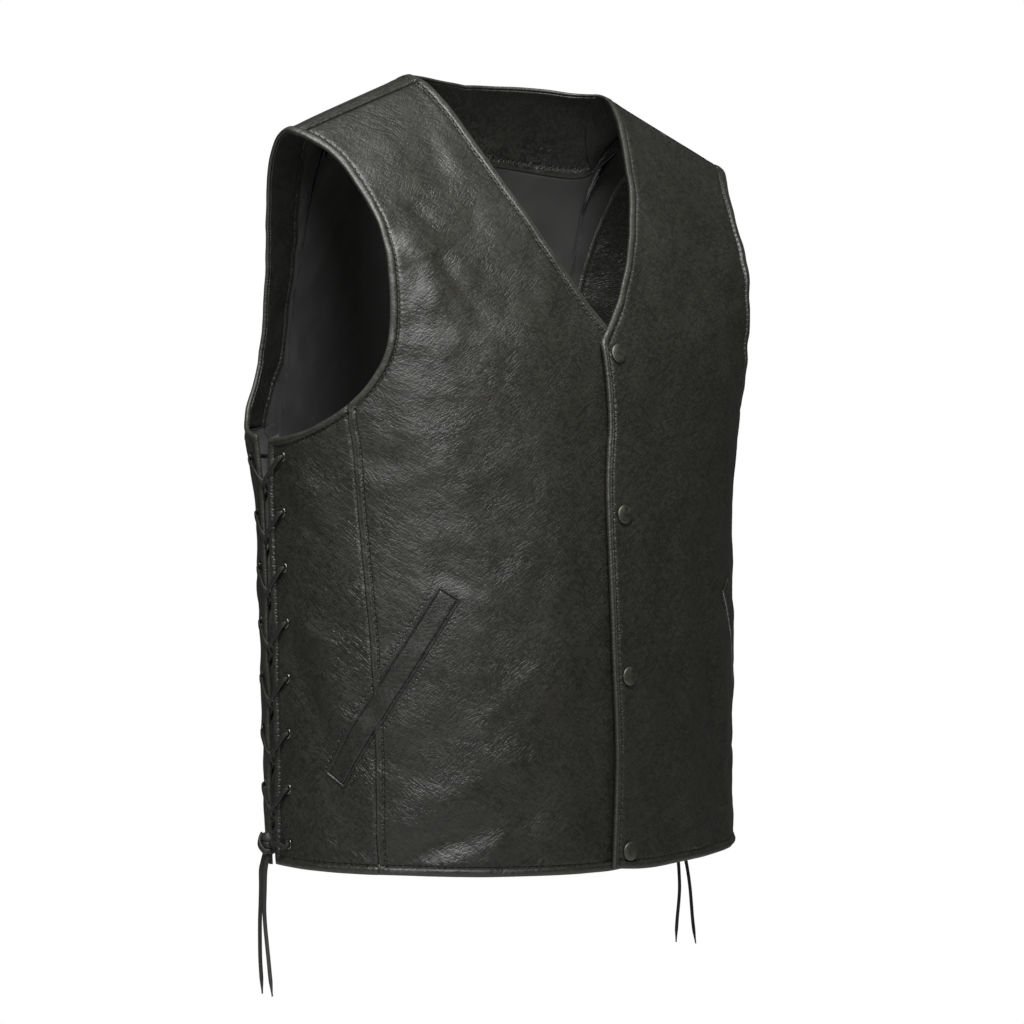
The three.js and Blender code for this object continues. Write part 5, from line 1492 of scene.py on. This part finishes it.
# %% Floor, world and lights
FLOOR_Z, FLOOR_RADIUS = -0.96, 1.1
ring = np.linspace(0, 2 * np.pi, 64, endpoint=False)
floor_points = np.stack([FLOOR_RADIUS * np.cos(ring), FLOOR_RADIUS * np.sin(ring), 0 * ring + FLOOR_Z], -1)
floor_mesh = bpy.data.meshes.new("floor")
floor_mesh.from_pydata(floor_points.tolist(), [], [list(range(64))])
floor = bpy.data.objects.new("floor", floor_mesh)
bpy.context.scene.collection.objects.link(floor)
floor_finish = new_finish("pale_plaster_floor", Base_Color=linear("#e8e7e4"), Roughness=0.8)[0]
floor_mesh.materials.append(floor_finish)

world = bpy.data.worlds.new("studio")
world.use_nodes = True
bpy.context.scene.world = world
sky = world.node_tree
sky.nodes.clear()
seen = add(sky, "ShaderNodeBackground", {"Color": linear("#ffffff"), "Strength": 1.0})
soft = add(sky, "ShaderNodeBackground", {"Color": linear("#fbfff4"), "Strength": 0.09})
is_seen = add(sky, "ShaderNodeLightPath", out="Is Camera Ray")
both = add(sky, "ShaderNodeMixShader", {0: is_seen, 1: soft, 2: seen})
add(sky, "ShaderNodeOutputWorld", {"Surface": both})
bpy.context.scene.view_settings.view_transform = "Standard"
bpy.context.scene.view_settings.look = "None"


def lamp_at(name, kind, turn, height, distance, power, aim, **settings):
    """A lamp on the camera's circle, turned from it by some degrees, that faces a place."""
    data = bpy.data.lights.new(name, kind)
    data.energy = power
    for key, value in settings.items():
        setattr(data, key, value)
    lamp = bpy.data.objects.new(name, data)
    a = VIEW_TURN + math.radians(turn)
    lamp.location = (-distance * math.sin(a), -distance * math.cos(a), height)
    way = np.array(aim) - np.array(lamp.location)
    lamp.rotation_euler = (math.acos(-way[2] / np.linalg.norm(way)), 0, math.atan2(-way[0], way[1]))
    bpy.context.scene.collection.objects.link(lamp)
    return lamp


VEST_MIDDLE, CHEST = (0, 0, -0.3), (-0.11, -0.08, -0.09)
lamps = [
    lamp_at("key_light", "AREA", -4, 1.0, 1.15, 50, VEST_MIDDLE, shape="SQUARE", size=0.75),
    lamp_at("front_fill", "AREA", 12, -0.15, 2.5, 4, VEST_MIDDLE, shape="SQUARE", size=1.2),
    lamp_at("side_light", "AREA", 66, 0.5, 2.0, 4, VEST_MIDDLE, shape="SQUARE", size=0.9),
    lamp_at("top_light", "AREA", 10, 1.6, 0.5, 4, VEST_MIDDLE, shape="SQUARE", size=0.8),
    lamp_at(
        "chest_light", "SPOT", -10, 0.25, 1.6, 75, CHEST, shadow_soft_size=0.25,
        spot_size=math.radians(24), spot_blend=1.0,
    ),
]
print("lights", [lamp.name for lamp in lamps])
